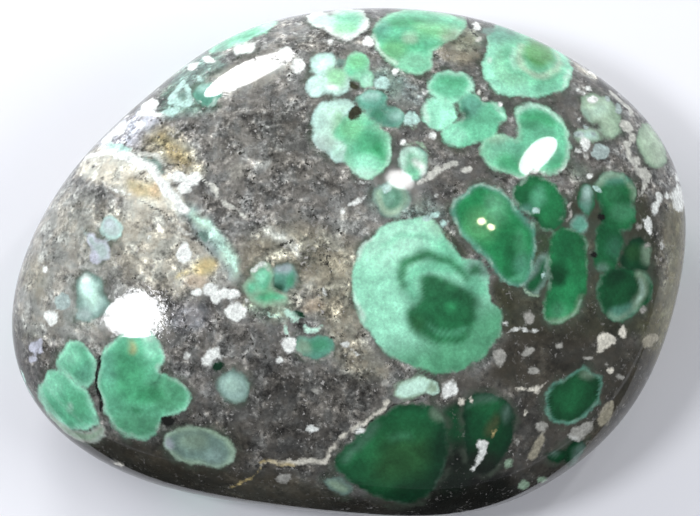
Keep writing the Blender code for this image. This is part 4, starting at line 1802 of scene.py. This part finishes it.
LEFT_REGION = Region(
    # smoothed, paler grey rock under the left window's highlight: partly painted highlight
    painted_highlight_beds=(Tint(GREY, Oval(-13.6-3.2j, 1.7, 1.3), 0.5, 0.95),),
    stains=(
        Tint(UMBER, patch(-20.9-3j, -19.8-3j, -19.2-4j, -20-4.8j, -20.9-4.4j), 0.4, 0.7),
        Tint(OLIVE, Oval(-19.9-4.6j, 0.8, 0.25, 10), 0.3, 0.5),
        Tint(SLATE, patch(-20.4-5.6j, -18.8-5j, -18.2-6.4j, -19.2-7.4j, -19.4-9j, -20.4-8j), 0.4, 0.7),
        Tint(DUSTY, Oval(-16.9-3.4j, 1, 0.5), 0.5, 0.5),
        Tint(BLACK, line(0.16, -15.7-6.2j, -15.8-7.6j, -15.6-8.6j, -15.3-9.6j), 0.2),
        Tint(SLATE, patch(-12.6-6.8j, -9-8.6j, -4.6-6.8j, 0.4-7j, 2.6-8j, 0.4-10.6j, -2-12.6j, -7-13.4j,
            -12-12.8j, -11-9.8j), 0.8, 0.85),
        Tint(UMBER, patch(-15.2-11j, -12.4-11.2j, -11.2-10.4j, -6.8-10.2j, -6.6-12.8j, -12-14j), 0.6, 0.7),
    ),
    smooth=(
        Tint(GREY, patch(-20.8-3j, -20+1.6j, -18+4.6j, -15.4+3.2j, -14.2+0.6j, -14.8-2.6j, -12-3j, -11.8-4.6j,
            -15.6-5j, -19.4-4.6j), 0.8),
        Tint(TAN, Oval(-19.6-1j, 0.8, 1.2, 20), 0.6, 0.5),
        # dark umber and near-black band along the stone's lower edge: dark rock, darkened further as painted
        # shade of the side turned from the light
        Tint(UMBER, patch(-21-3.4j, -19.6-8.4j, -16.6-10.6j, -12.6-11.2j, -8-12.8j, -4-13.2j, 1-14.6j,
            7-14.4j, 13-12j, 17.6-11.4j, 12-16j, 2-18j, -10-17j, -20-12.4j), 0.5, 0.9),
        Tint(BLACK, patch(-17.6-11j, -13-12.4j, -6-14j, 3-14.8j, 9-14.4j, 13-12.6j, 15.2-14.2j, 8-17.6j,
            -4-17.6j, -14-15.6j), 0.5),
        Tint(TAN, patch(-9.2-14.8j, -7.4-13.6j, -2.4-13.4j, -1-14.4j, -2-15.2j, -8-15.4j), 0.5, 0.08),
    ),
    nodules=(
        nodule(
            SAGE, GREY, line(0.42, -18.6-9.5j, -17.8-10.4j, -16.8-10.9j, -15.9-10.9j, -15.4-10.4j),
            edge_width=0.3, skin=0.6,
        ),
        nodule(
            JADE, MINT,
            patch(-18.2-6.4j, -17.7-5.3j, -16.9-4.95j, -16-5.6j, -15.75-6.9j, -16.3-7.85j, -17.3-7.3j),
            Tint(MINT, Oval(-17.4-5.9j, 0.6, 0.5, 30), 0.4), Tint(TEAL, Oval(-16.4-7j, 0.5, 0.6), 0.4, 0.5),
            skin=0.4,
        ),
        nodule(
            JADE, MINT,
            patch(-19.3-8.4j, -19-7.3j, -18.2-6.7j, -17-7.5j, -16.3-8.1j, -15.7-9.6j, -15.7-10.3j, -17-10.45j,
                -18.2-10j),
            Tint(MINT, Oval(-18.5-7.7j, 0.6, 0.7, 30), 0.4, 0.5),
            Tint(GREEN, Oval(-16.9-9j, 0.8, 0.9, -30), 0.6, 0.35),
            Tint(MINT_WHITE, Oval(-17.4-9.1j, 0.13, 0.25), 0.1), skin=0.4, seam=NIGHT,
        ),
        nodule(
            JADE, MINT,
            patch(-15.3-5.6j, -14.7-4.9j, -13.2-4.3j, -12.4-4.3j, -11.8-5j, -11.5-6j, -11.8-6.8j, -11.1-7.2j,
                -10.2-7.7j, -9.9-8.4j, -10.2-9.2j, -11.2-9.7j, -11.9-10.3j, -12.1-10.8j, -13.2-11.1j,
                -14.2-10.6j, -14.9-9.9j, -15.4-8.8j, -15.65-7.4j),
            Tint(GREEN, Oval(-13.6-7.3j, 1.1, 1.9, 10), 0.7), Tint(TEAL, Oval(-15-6.6j, 0.5, 1), 0.4, 0.5),
            Tint(MINT, Oval(-12.3-5.3j, 0.5, 0.8), 0.3, 0.7),
            Tint(MINT_WHITE, spot(-12.5-4.7j, 0.35), 0.2, 0.7),
            Tint(OCHRE, Oval(-13.5-5.3j, 0.18, 0.4), 0.15),
            Tint(FERN, Oval(-11.3-8.2j, 1.3, 1.2, -10), 0.5, 0.85),
            Tint(FERN, Oval(-13.2-10.2j, 1.6, 0.9), 0.6, 0.85), Tint(GREEN, Oval(-12.3-8.3j, 0.8, 0.5), 0.4),
            Tint(DEEP, line(0.06, -14.4-9.1j, -13.2-9.3j, -11.9-9.2j, -11.2-8.6j, -10.6-8.1j), 0.14),
            Tint(DEEP, Oval(-13.25-9.35j, 0.22, 0.1), 0.1, 0.8),
            Tint(NIGHT, line(0.05, -11.7-7j, -11.85-7.4j, -12.2-7.6j), 0.1, 0.8), edge_width=0.35, skin=0.6,
        ),
        nodule(
            AQUA, DUSTY, Oval(-16.2-1.6j, 0.9, 0.95), Oval(-15.9-2.6j, 1, 0.9), Oval(-16.5-3.4j, 0.5, 0.4),
            Tint(MINT_WHITE, Oval(-16.1-2j, 0.45, 0.9, 20), 0.4, 0.8),
            Tint(DUSTY, Oval(-15.4-1.6j, 0.3, 0.5)), Tint(WHITE, spot(-16.4-1.1j, 0.3), 0.25),
            Tint(PEBBLE, Oval(-16.5-3.3j, 0.5, 0.4), 0.3, 0.8), edge_width=0.6, skin=0.1,
        ),
        nodule(MINT, AQUA, line(0.22, -20.5-6.9j, -20.2-7.6j, -19.7-8.4j), skin=0.2),
        nodule(
            PEBBLE, AQUA, Oval(-14.8+2.15j, 0.72, 0.68, -30),
            Tint(LAVENDER, Oval(-15+2.4j, 0.4, 0.3), 0.3, 0.4), edge_width=0.25, skin=0.3,
        ),
        nodule(
            PEBBLE, LAVENDER, Oval(-15.5+0.7j, 0.62, 0.68), Oval(-16+1.4j, 0.3, 0.45, 30), edge_width=0.3,
            skin=0.3,
        ),
    ),
    flecks=(
        flecks(PEBBLE, Oval(-17.8-2.5j, 0.48, 0.52), line(0.12, -16.6+2.1j, -16.2+1.6j, -15.8+1.2j)),
        flecks(WHITE, Oval(-18.55-3.5j, 0.42, 0.5), Oval(-18.9-0.5j, 0.15, 0.22)),
        flecks(LAVENDER, Oval(-19.6-5.3j, 0.3, 0.35), Oval(-19.2-5.5j, 0.18, 0.2),
            Oval(-19.7-6.1j, 0.28, 0.2, 30), spot(-19.3-5j, 0.2)),
        flecks(BLACK, Oval(-14.8-12.35j, 0.28, 0.14, -20), Oval(-11.3-9.95j, 0.5, 0.3, 10)),
    ),
    cracks=(
        line(0.13, -15.5-6j, -15.7-7.2j, -15.55-8.6j, -15.2-9.9j),
        line(0.1, -11.9-9.9j, -11.2-10j, -10.6-9.7j),
    ),
)

BOTTOM_REGION = Region(
    stains=(
        Tint(SLATE, patch(6-8.6j, 7.4-9.4j, 10.6-8.6j, 10.8-13.6j, 6.4-15.6j, 4.4-15.2j, 5.9-12j), 0.6, 0.9),
        Tint(BLACK, patch(5.2-13.8j, 6.2-9j, 7.6-9j, 8-13j, 11-13.4j, 9.6-16.4j, 6.6-17j, 3-16.2j), 0.5, 0.9),
        Tint(SLATE, patch(10.4-8.4j, 12-8.6j, 12.2-10.2j, 14.2-10.6j, 13.8-13j, 10.4-14.2j), 0.5),
        Tint(BLACK, patch(12.6-7j, 14.4-6.6j, 15-6.4j, 13.4-6.3j)),
        Tint(UMBER, Oval(-2-13j, 3.6, 1), 0.6, 0.5),
    ),
    smooth=(
        Tint(UMBER, patch(5.6-7.2j, 8.6-6.8j, 10.4-5.6j, 10.2-8j, 7-8.4j), 0.4),
        Tint(IVY, patch(5.6-9.6j, 6.4-9j, 7.6-9.2j, 8-11j, 7.8-13.6j, 6-14.6j, 5.2-12.4j), 0.4, 0.95),
        Tint(BLACK, patch(6.2-11.4j, 8.4-11.6j, 10-12.6j, 9.4-15j, 5.4-15.4j, 5-13.8j), 0.7, 0.9),
    ),
    nodules=(
        nodule(
            PINE, IVY,
            patch(-0.9-12.7j, -0.3-11.7j, 0.8-10.6j, 2-9.6j, 3.3-8.9j, 4.2-8.8j, 5.5-9.2j, 6.05-10j,
                6.2-11.5j, 6-13j, 5.3-14.2j, 4.2-15j, 2.6-15j, 0.9-14.2j, -0.3-13.5j),
            Tint(MOSS, Oval(3.4-12.2j, 2.2, 1.8, 20), 1.2, 0.75), Tint(DEEP, Oval(3.4-10.3j, 1.7, 0.9), 0.6),
            Tint(FERN, Oval(3.3-10.9j, 0.7, 0.25, 10), 0.3, 0.35),
            Tint(DEEP, Oval(0.9-12j, 1, 1.5, -35), 0.7),
            Tint(DUSTY, line(0.2, -0.2-12.4j, 0.8-11.2j, 1.8-10.3j), 0.4, 0.4),
            # darker toward the stone's lower edge and right, fading to near black: painted shade
            Tint(NIGHT, Oval(4.2-14.6j, 2.2, 1.1, 20), 0.8, 0.85),
            Tint(NIGHT, Oval(5.8-12.4j, 0.7, 2.2), 0.7, 0.9),
            Tint(SAGE, Oval(5.6-9.5j, 0.5, 0.3, -30), 0.3, 0.5),
            Tint(DEEP, line(0.04, 4.2-9.9j, 4.6-10.5j), 0.1, 0.5), edge_width=0.7, skin=0.1, seam=NIGHT,
        ),
        nodule(
            IVY, NIGHT,
            patch(7.3-8.8j, 8-8.2j, 9-8.3j, 10-8.8j, 10.4-9.8j, 10.2-11.2j, 9.4-12.6j, 8.4-13.2j, 7.5-12.4j,
                7.3-10.6j),
            Tint(DEEP, Oval(8.6-8.9j, 1.1, 0.5), 0.4),
            Tint(DUSTY, line(0.14, 7.6-8.9j, 8.4-8.5j, 9.4-8.6j), 0.25, 0.45),
            Tint(PINE, spot(8.2-10j, 0.6), 0.4, 0.5), Tint(BRONZE, Oval(9-10.2j, 0.25, 0.7, -25), 0.3, 0.5),
            Tint(DUSTY, Oval(9.9-9.5j, 0.25, 0.5), 0.3, 0.45),
            Tint(BLACK, Oval(8.3-12.6j, 1.2, 1), 0.6, 0.85), edge_width=0.7, skin=0, seam=NIGHT,
        ),
        nodule(SAGE, DUSTY, Oval(-0.6-14j, 0.85, 0.5, -25), skin=0.1),
        nodule(
            MINT_WHITE, SAGE, Oval(4-7.9j, 1.25, 0.55, 15), Oval(4.6-7.6j, 0.6, 0.45), edge_width=0.25,
            skin=0.2,
        ),
        nodule(SAGE, MINT_WHITE, Oval(5.2-7.85j, 0.5, 0.42), edge_width=0.2, skin=0.3),
    ),
    flecks=(
        flecks(WHITE, Oval(6.4-8j, 0.42, 0.48), Oval(6.15-8.35j, 0.3, 0.25), spot(8.4-11.45j, 0.32),
            Oval(8.25-12.2j, 0.22, 0.55, -35), Oval(7.85-12.8j, 0.12, 0.22, -20),
            Oval(0.75-10.55j, 0.3, 0.2, 30)),
        flecks(GREY, line(0.06, 5.6-7.3j, 6.1-7.5j, 6.6-7.4j), Oval(3.6-8.7j, 0.35, 0.1, 10),
            Oval(-1.9-8j, 0.35, 0.15), line(0.07, 0.3-9.6j, -0.2-9.7j), spot(2.3-7.5j, 0.2)),
        flecks(CREAM, Oval(2.4-8.8j, 0.16, 0.12), Oval(7.1-8.7j, 0.18, 0.25), spot(7.7-8.55j, 0.15)),
        flecks(OCHRE, Oval(9.1-10.7j, 0.12, 0.3, -20)),
    ),
    cracks=(
        line(0.07, -1.1-12.3j, -0.6-11.6j, 0.4-10.7j, 1.6-9.9j, 2.8-9j, 4.2-8.6j, 5.4-8.9j),
        line(0.05, 2.2-6.6j, 3.2-7.1j, 4.6-7.2j, 6-7.4j),
    ),
)

SHOW_FACE = (
    EYE_REGION, RIGHT_REGION, TOP_RIGHT_REGION, TOP_REGION, TOP_LEFT_REGION, MIDDLE_REGION, LEFT_REGION,
    BOTTOM_REGION,
)


@dataclass(frozen=True)
class Sizes:
    """How large one kind of strewn oval is."""

    least: float  # mm, its smallest long half-axis
    most: float
    margin: float = 0.8  # mm outside it that depths are worked out for


@dataclass(frozen=True)
class Strewing:
    """Marks like the show face's, strewn at random over the sides and the back."""

    seed: int = 5
    stains: int = 46
    stain_sizes: Sizes = Sizes(1.6, 4.5, 1.4)
    stain_strengths: tuple[float, float] = (0.3, 0.8)
    stain_fade: float = 1.2  # mm
    nodules: int = 40
    nodule_sizes: Sizes = Sizes(0.6, 2.4)
    most_lobes: int = 3
    lobe_reach: float = 0.9  # distance of a lobe's middle and its least size, as shares of the first lobe's
    least_lobe: float = 0.5
    flecks: int = 230
    fleck_sizes: Sizes = Sizes(0.12, 0.5)
    veins: int = 9
    vein_halves: tuple[float, float] = (0.07, 0.16)  # mm, half-widths
    vein_steps: tuple[int, int] = (8, 22)
    vein_step: float = 0.7  # mm
    vein_turning: float = 0.35
    crowding: float = 1.5  # more gives more small marks for each large one
    slimness: tuple[float, float] = (0.55, 1.0)  # short half-axis as a share of the long one
    highest: float = 3.6  # mm, the highest that the middle of a mark is
    thin_heights: tuple[float, float] = (3.4, 4.5)  # mm, between which the marks thin out toward the girdle
    thinning: float = 2.5  # mm of depth that they lose there
    rock_tones: tuple[Tone, ...] = (UMBER, SLATE, TAN, GREY, OLIVE, BRONZE)
    fleck_tones: tuple[Tone, ...] = (AQUA, WHITE, CREAM, GREY, SAGE, PEBBLE, BONE)
    nodule_kinds: tuple[Nodule, ...] = (
        Nodule(JADE, MINT, heart=GREEN, heart_depth=0.9),
        Nodule(GREEN, JADE, heart=DEEP, heart_depth=0.8),
        Nodule(MINT, MINT_WHITE, heart=JADE, heart_depth=0.7),
        Nodule(DEEP, TEAL, heart=PINE, heart_depth=1.0),
        Nodule(LEAF, FERN, heart=PINE, heart_depth=1.1),
        Nodule(TEAL, DUSTY, heart=DEEP, heart_depth=0.6),
    )

    def mark(self, markings: Markings) -> None:
        """Strews the stains, then the nodules, the flecks and the veins.

        Args:
            markings: The stone's markings so far.
        """
        draw, canvas = np.random.default_rng(self.seed), markings.canvas
        for _ in range(self.stains):
            depth = self.blot(draw, canvas, self.stain_sizes)
            tone = self.rock_tones[draw.integers(len(self.rock_tones))]
            strength = draw.uniform(*self.stain_strengths)
            markings.stain_at(tone, strength * blend_steps(depth, -self.stain_fade, self.stain_fade))
        for _ in range(self.nodules):
            markings.grow(*self.nodule(draw, canvas))
        for _ in range(self.flecks):
            depth = self.blot(draw, canvas, self.fleck_sizes)
            markings.dab(self.fleck_tones[draw.integers(len(self.fleck_tones))], depth)
        for number in range(self.veins):
            depth = self.vein(draw, canvas)
            if number % 2:
                markings.dab(BONE, depth)
            else:
                markings.crack(depth)

    def seat(self, draw: np.random.Generator, canvas: Canvas) -> Seat:
        """A random spot below the girdle, with random directions."""
        low = np.flatnonzero(canvas.true_points[:, 2] < self.highest)
        return canvas.seat_near(canvas.true_points[draw.choice(low)], draw.uniform(0.0, math.tau))

    def oval(self, draw: np.random.Generator, sizes: Sizes) -> Oval:
        """A random oval."""
        wide = sizes.least * (sizes.most / sizes.least) ** draw.uniform() ** self.crowding
        return Oval(0j, wide, wide * draw.uniform(*self.slimness), margin=sizes.margin)

    def blot(self, draw: np.random.Generator, canvas: Canvas, sizes: Sizes) -> np.ndarray:
        """Each vertex's depth inside a random oval at a random spot."""
        shape = self.oval(draw, sizes)
        return self.below_girdle(canvas, shape.depth_at(canvas, self.seat(draw, canvas)))

    def nodule(self, draw: np.random.Generator, canvas: Canvas) -> tuple[Nodule, np.ndarray]:
        """A random nodule of a few lobes.

        Args:
            draw: Random numbers.
            canvas: The stone's vertices.

        Returns:
            The nodule, and each vertex's depth inside it.
        """
        kind = self.nodule_kinds[draw.integers(len(self.nodule_kinds))]
        seat = self.seat(draw, canvas)
        first = self.oval(draw, self.nodule_sizes)
        depth = first.depth_at(canvas, seat)
        for _ in range(draw.integers(self.most_lobes)):
            turn = draw.uniform(0.0, math.tau)
            lobe = self.oval(draw, Sizes(self.least_lobe * first.high, first.high))
            place = canvas.seat_near(seat.beside(turn, self.lobe_reach * first.high), turn)
            depth = join_depths(depth, lobe.depth_at(canvas, place), kind.fillet)
        return kind, self.below_girdle(canvas, depth)

    def vein(self, draw: np.random.Generator, canvas: Canvas) -> np.ndarray:
        """A thin wandering line.

        Args:
            draw: Random numbers.
            canvas: The stone's vertices.

        Returns:
            Each vertex's depth inside it.
        """
        pen = Trail(draw.uniform(*self.vein_halves))
        depth = canvas.blank
        seat, turn = self.seat(draw, canvas), 0.0
        for _ in range(draw.integers(*self.vein_steps)):
            turn += draw.normal(0.0, self.vein_turning)
            onward = canvas.seat_near(seat.beside(turn, self.vein_step), 0.0).middle
            pen.draw_stretch(canvas, depth, (seat.middle, onward), pen.half)
            seat = Seat(onward, seat.across, seat.up)
        return self.below_girdle(canvas, depth)

    def below_girdle(self, canvas: Canvas, depth: np.ndarray) -> np.ndarray:
        """Depths that die out toward the girdle, so that the show face stays as it is laid out."""
        cover = self.thinning * blend_steps(canvas.true_points[:, 2], *self.thin_heights)
        return np.where(depth > FAR_OUTSIDE, depth - cover, FAR_OUTSIDE)


@dataclass(frozen=True)
class PolishedStone:
    """The whole stone: its skin, its markings and its finish."""

    skin: Skin
    canvas: Canvas
    regions: tuple[Region, ...]
    strewing: Strewing = Strewing()
    finish: PolishedRock = PolishedRock()
    swell_seed: int = 31
    swell_length: float = 8.0  # mm between the faint swells that hand polishing leaves
    swell_size: float = 0.012

    def build(self) -> bpy.types.Object:
        """Builds and dresses the stone, hangs it on its body and hides its CAD solid.

        Returns:
            The stone.
        """
        markings = self.markings()
        mesh = bpy.data.meshes.new("variscite_stone")
        mesh.from_pydata((self.polished_points() * MM).tolist(), [], self.skin.faces)
        mesh.shade_smooth()
        self.carry(mesh, markings)
        mesh.materials.append(self.finish.material())
        stone = bpy.data.objects.new("variscite_stone", mesh)
        bpy.context.scene.collection.objects.link(stone)
        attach(stone, BODY)
        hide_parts(NODE)
        return stone

    def markings(self) -> Markings:
        """The markings strewn over the sides and back, then those of the show face.

        Returns:
            The markings.
        """
        markings = Markings(self.canvas)
        self.strewing.mark(markings)
        for region in self.regions:
            region.mark(markings)
        return markings

    def polished_points(self) -> np.ndarray:
        """The skin's vertices with faint swells.

        Returns:
            One row of x, y and z in mm for each.
        """
        points = self.skin.points.copy()
        crown = np.clip(points[:, 2] / self.skin.form.thickness, 0.0, 1.0)
        points[:, 2] += crown * self.swell_size * Ripple(self.swell_seed, self.swell_length).at(points)
        return points

    @staticmethod
    def carry(mesh: bpy.types.Mesh, markings: Markings) -> None:
        """Writes the markings on the mesh for the finish to read.

        Args:
            mesh: The stone's mesh.
            markings: Its markings.
        """
        for name in ("grain", "nodule_depth", "nodule_skin", "fleck_depth", "crack_depth"):
            layer = mesh.attributes.new(name, "FLOAT", "POINT")
            layer.data.foreach_set("value", getattr(markings, name).astype(np.float32))
        for name in ("rock_paint", "nodule_paint", "fleck_paint"):
            paint = np.insert(getattr(markings, name), 3, 1.0, axis=1)
            layer = mesh.attributes.new(name, "FLOAT_COLOR", "POINT")
            layer.data.foreach_set("color", paint.astype(np.float32).ravel())


@dataclass(frozen=True)
class Lamp:
    """A soft lamp, known by the highlight that the stone shows of it from the show view."""

    name: str
    highlight: Oval
    radiance: float
    colour: Colour = (1.0, 1.0, 1.0)
    distance: float = 350.0  # mm from the stone

    def hang(self, canvas: Canvas) -> None:
        """Hangs the lamp where the stone mirrors it toward the eye.

        Args:
            canvas: The stone's vertices and surface.
        """
        shape, view = self.highlight, canvas.viewpoint
        middle, mirror = canvas.fold(shape.place)
        way = mirror @ view.sight(shape.place)
        place = middle + self.distance * way
        wide, high = (turn * complex(*shape.turn) for turn in (1, 1j))
        light = bpy.data.lights.new(self.name, "AREA")
        light.shape = "ELLIPSE"
        light.size = self.side(canvas, shape.wide * wide)
        light.size_y = self.side(canvas, shape.high * high)
        light.energy = self.radiance * math.pi * math.pi / 4 * light.size * light.size_y
        light.color = self.colour
        axes = Matrix((mirror @ view.along(wide), mirror @ view.along(high), way)).transposed()
        lamp = bpy.data.objects.new(self.name, light)
        lamp.matrix_world = Matrix.LocRotScale(Vector(place * MM), axes, None)
        lamp.visible_camera = False
        bpy.context.scene.collection.objects.link(lamp)
        size = (round(light.size / MM), round(light.size_y / MM))
        log.info("%s: at %s mm, %d by %d mm", self.name, np.round(place), *size)

    def side(self, canvas: Canvas, reach: complex) -> float:
        """How long the lamp is, so that its highlight reaches this far to both sides.

        Args:
            canvas: The stone's vertices and surface.
            reach: The highlight's reach on the picture plane.

        Returns:
            The lamp's length in metres.
        """
        ways = []
        for place in (self.highlight.place - reach, self.highlight.place + reach):
            ways.append(canvas.fold(place)[1] @ canvas.viewpoint.sight(place))
        spread = math.acos(float(np.clip(ways[0] @ ways[1], -1.0, 1.0)))
        return 2 * self.distance * math.tan(spread / 2) * MM


@dataclass(frozen=True)
class Sheet:
    """A large diffusing sheet that lights softly and shows in no reflection."""

    name: str
    place: tuple[float, float, float]  # mm
    side: float  # mm
    radiance: float

    def hang(self) -> None:
        """Hangs the sheet, facing the stone."""
        light = bpy.data.lights.new(self.name, "AREA")
        light.size = self.side * MM
        light.energy = self.radiance * math.pi * light.size**2
        sheet = bpy.data.objects.new(self.name, light)
        sheet.location = Vector(self.place) * MM
        sheet.rotation_euler = (-sheet.location).to_track_quat("-Z", "Y").to_euler()
        sheet.visible_camera = False
        sheet.visible_glossy = False
        bpy.context.scene.collection.objects.link(sheet)


@dataclass(frozen=True)
class Card:
    """A flat card beside the stone, which isn't part of it."""

    name: str
    across: tuple[float, float]  # mm, where it starts and ends
    along: tuple[float, float]
    height: float
    colour: Colour
    roughness: float = 0.8

    def lay(self) -> bpy.types.Object:
        """Lays the card down.

        Returns:
            The card.
        """
        (left, right), (start, end) = self.across, self.along
        corners = ((left, start), (right, start), (right, end), (left, end))
        mesh = bpy.data.meshes.new(self.name)
        mesh.from_pydata([Vector((*corner, self.height)) * MM for corner in corners], [], [(0, 1, 2, 3)])
        material = bpy.data.materials.new(self.name)
        bench = NodeBench(material)
        bench.finish("Base Color", (*self.colour, 1.0))
        bench.finish("Roughness", self.roughness)
        mesh.materials.append(material)
        card = bpy.data.objects.new(self.name, mesh)
        bpy.context.scene.collection.objects.link(card)
        return card


@dataclass(frozen=True)
class Studio:
    """The plain pale floor, the soft lamps and the faint light all round."""

    lamps: tuple[Lamp, ...]
    sheets: tuple[Sheet, ...]
    floor: Card = Card("floor", (-400.0, 400.0), (-400.0, 400.0), -0.05, (0.84, 0.85, 0.89))
    flag: Card = Card("flag", (-70.0, 90.0), (-260.0, -17.2), 0.0, (0.02, 0.02, 0.02))  # dark card in front
    flag_far_colour: Colour = (0.15, 0.15, 0.16)
    surround: Colour = (0.20, 0.205, 0.23)

    def build(self, canvas: Canvas) -> None:
        """Makes the floor, the flag, the lamps and the world.

        Args:
            canvas: The stone's vertices and surface.
        """
        self.floor.lay()
        self.lay_flag()
        for lamp in self.lamps:
            lamp.hang(canvas)
        for sheet in self.sheets:
            sheet.hang()
        world = bpy.data.worlds.new("surround")
        world.use_nodes = True
        world.node_tree.nodes["Background"].inputs["Color"].default_value = (*self.surround, 1.0)
        bpy.context.scene.world = world
        bpy.context.scene.view_settings.view_transform = "Standard"

    def lay_flag(self) -> None:
        """Lays the dark card in front, which only the stone's reflections show, darkest beside the stone."""
        flag = self.flag.lay()
        flag.visible_camera = flag.visible_shadow = flag.visible_diffuse = False
        far, near = self.flag_far_colour, self.flag.colour
        layer = flag.data.color_attributes.new("shade", "FLOAT_COLOR", "POINT")
        for corner, colour in zip(layer.data, (far, far, near, near)):
            corner.color = (*colour, 1.0)
        bench = NodeBench(flag.active_material)
        bench.finish("Base Color", bench.attribute("shade", "Color"))


LAMPS = (
    Lamp("left_window", Oval(-13.5-3.3j, 1.95, 1.6), 26.0, (0.96, 0.97, 1.0)),
    Lamp("back_window", Oval(-6.35+11.95j, 1.35, 0.72), 20.0, distance=150.0),
    Lamp("right_window", Oval(12+6.8j, 1.5, 0.62, 52), 24.0),
    Lamp("ceiling_window", Oval(3.24+5.08j, 0.7, 0.44, -38), 26.0),
    Lamp("warm_bulb", Oval(8.2+2.4j, 0.22, 0.2, -45), 40.0, (1.0, 0.92, 0.62)),
    Lamp("warm_bulb_beside", Oval(8.7+2.05j, 0.26, 0.2, -45), 40.0, (1.0, 0.92, 0.62)),
)
SHEETS = (
    Sheet("key_sheet", (-230.0, 170.0, 170.0), 180.0, 3.9),
    Sheet("side_sheet", (260.0, -40.0, 200.0), 200.0, 3.4),
)


def main() -> None:
    """Builds the stone and the studio, and reports each."""
    logging.basicConfig(level=logging.INFO, format="%(name)s: %(message)s")
    viewpoint = Viewpoint()
    viewpoint.place_camera()
    skin = Skin(StoneForm(thickness=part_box(NODE)[1][2] / MM))
    canvas = Canvas(skin, viewpoint)
    stone = PolishedStone(skin, canvas, SHOW_FACE).build()
    log.info("%s: %d vertices, %d faces", stone.name, len(stone.data.vertices), len(stone.data.polygons))
    Studio(LAMPS, SHEETS).build(canvas)
    log.info("studio: %d lamps and %d sheets", len(LAMPS), len(SHEETS))


if __name__ == "__main__":
    main()
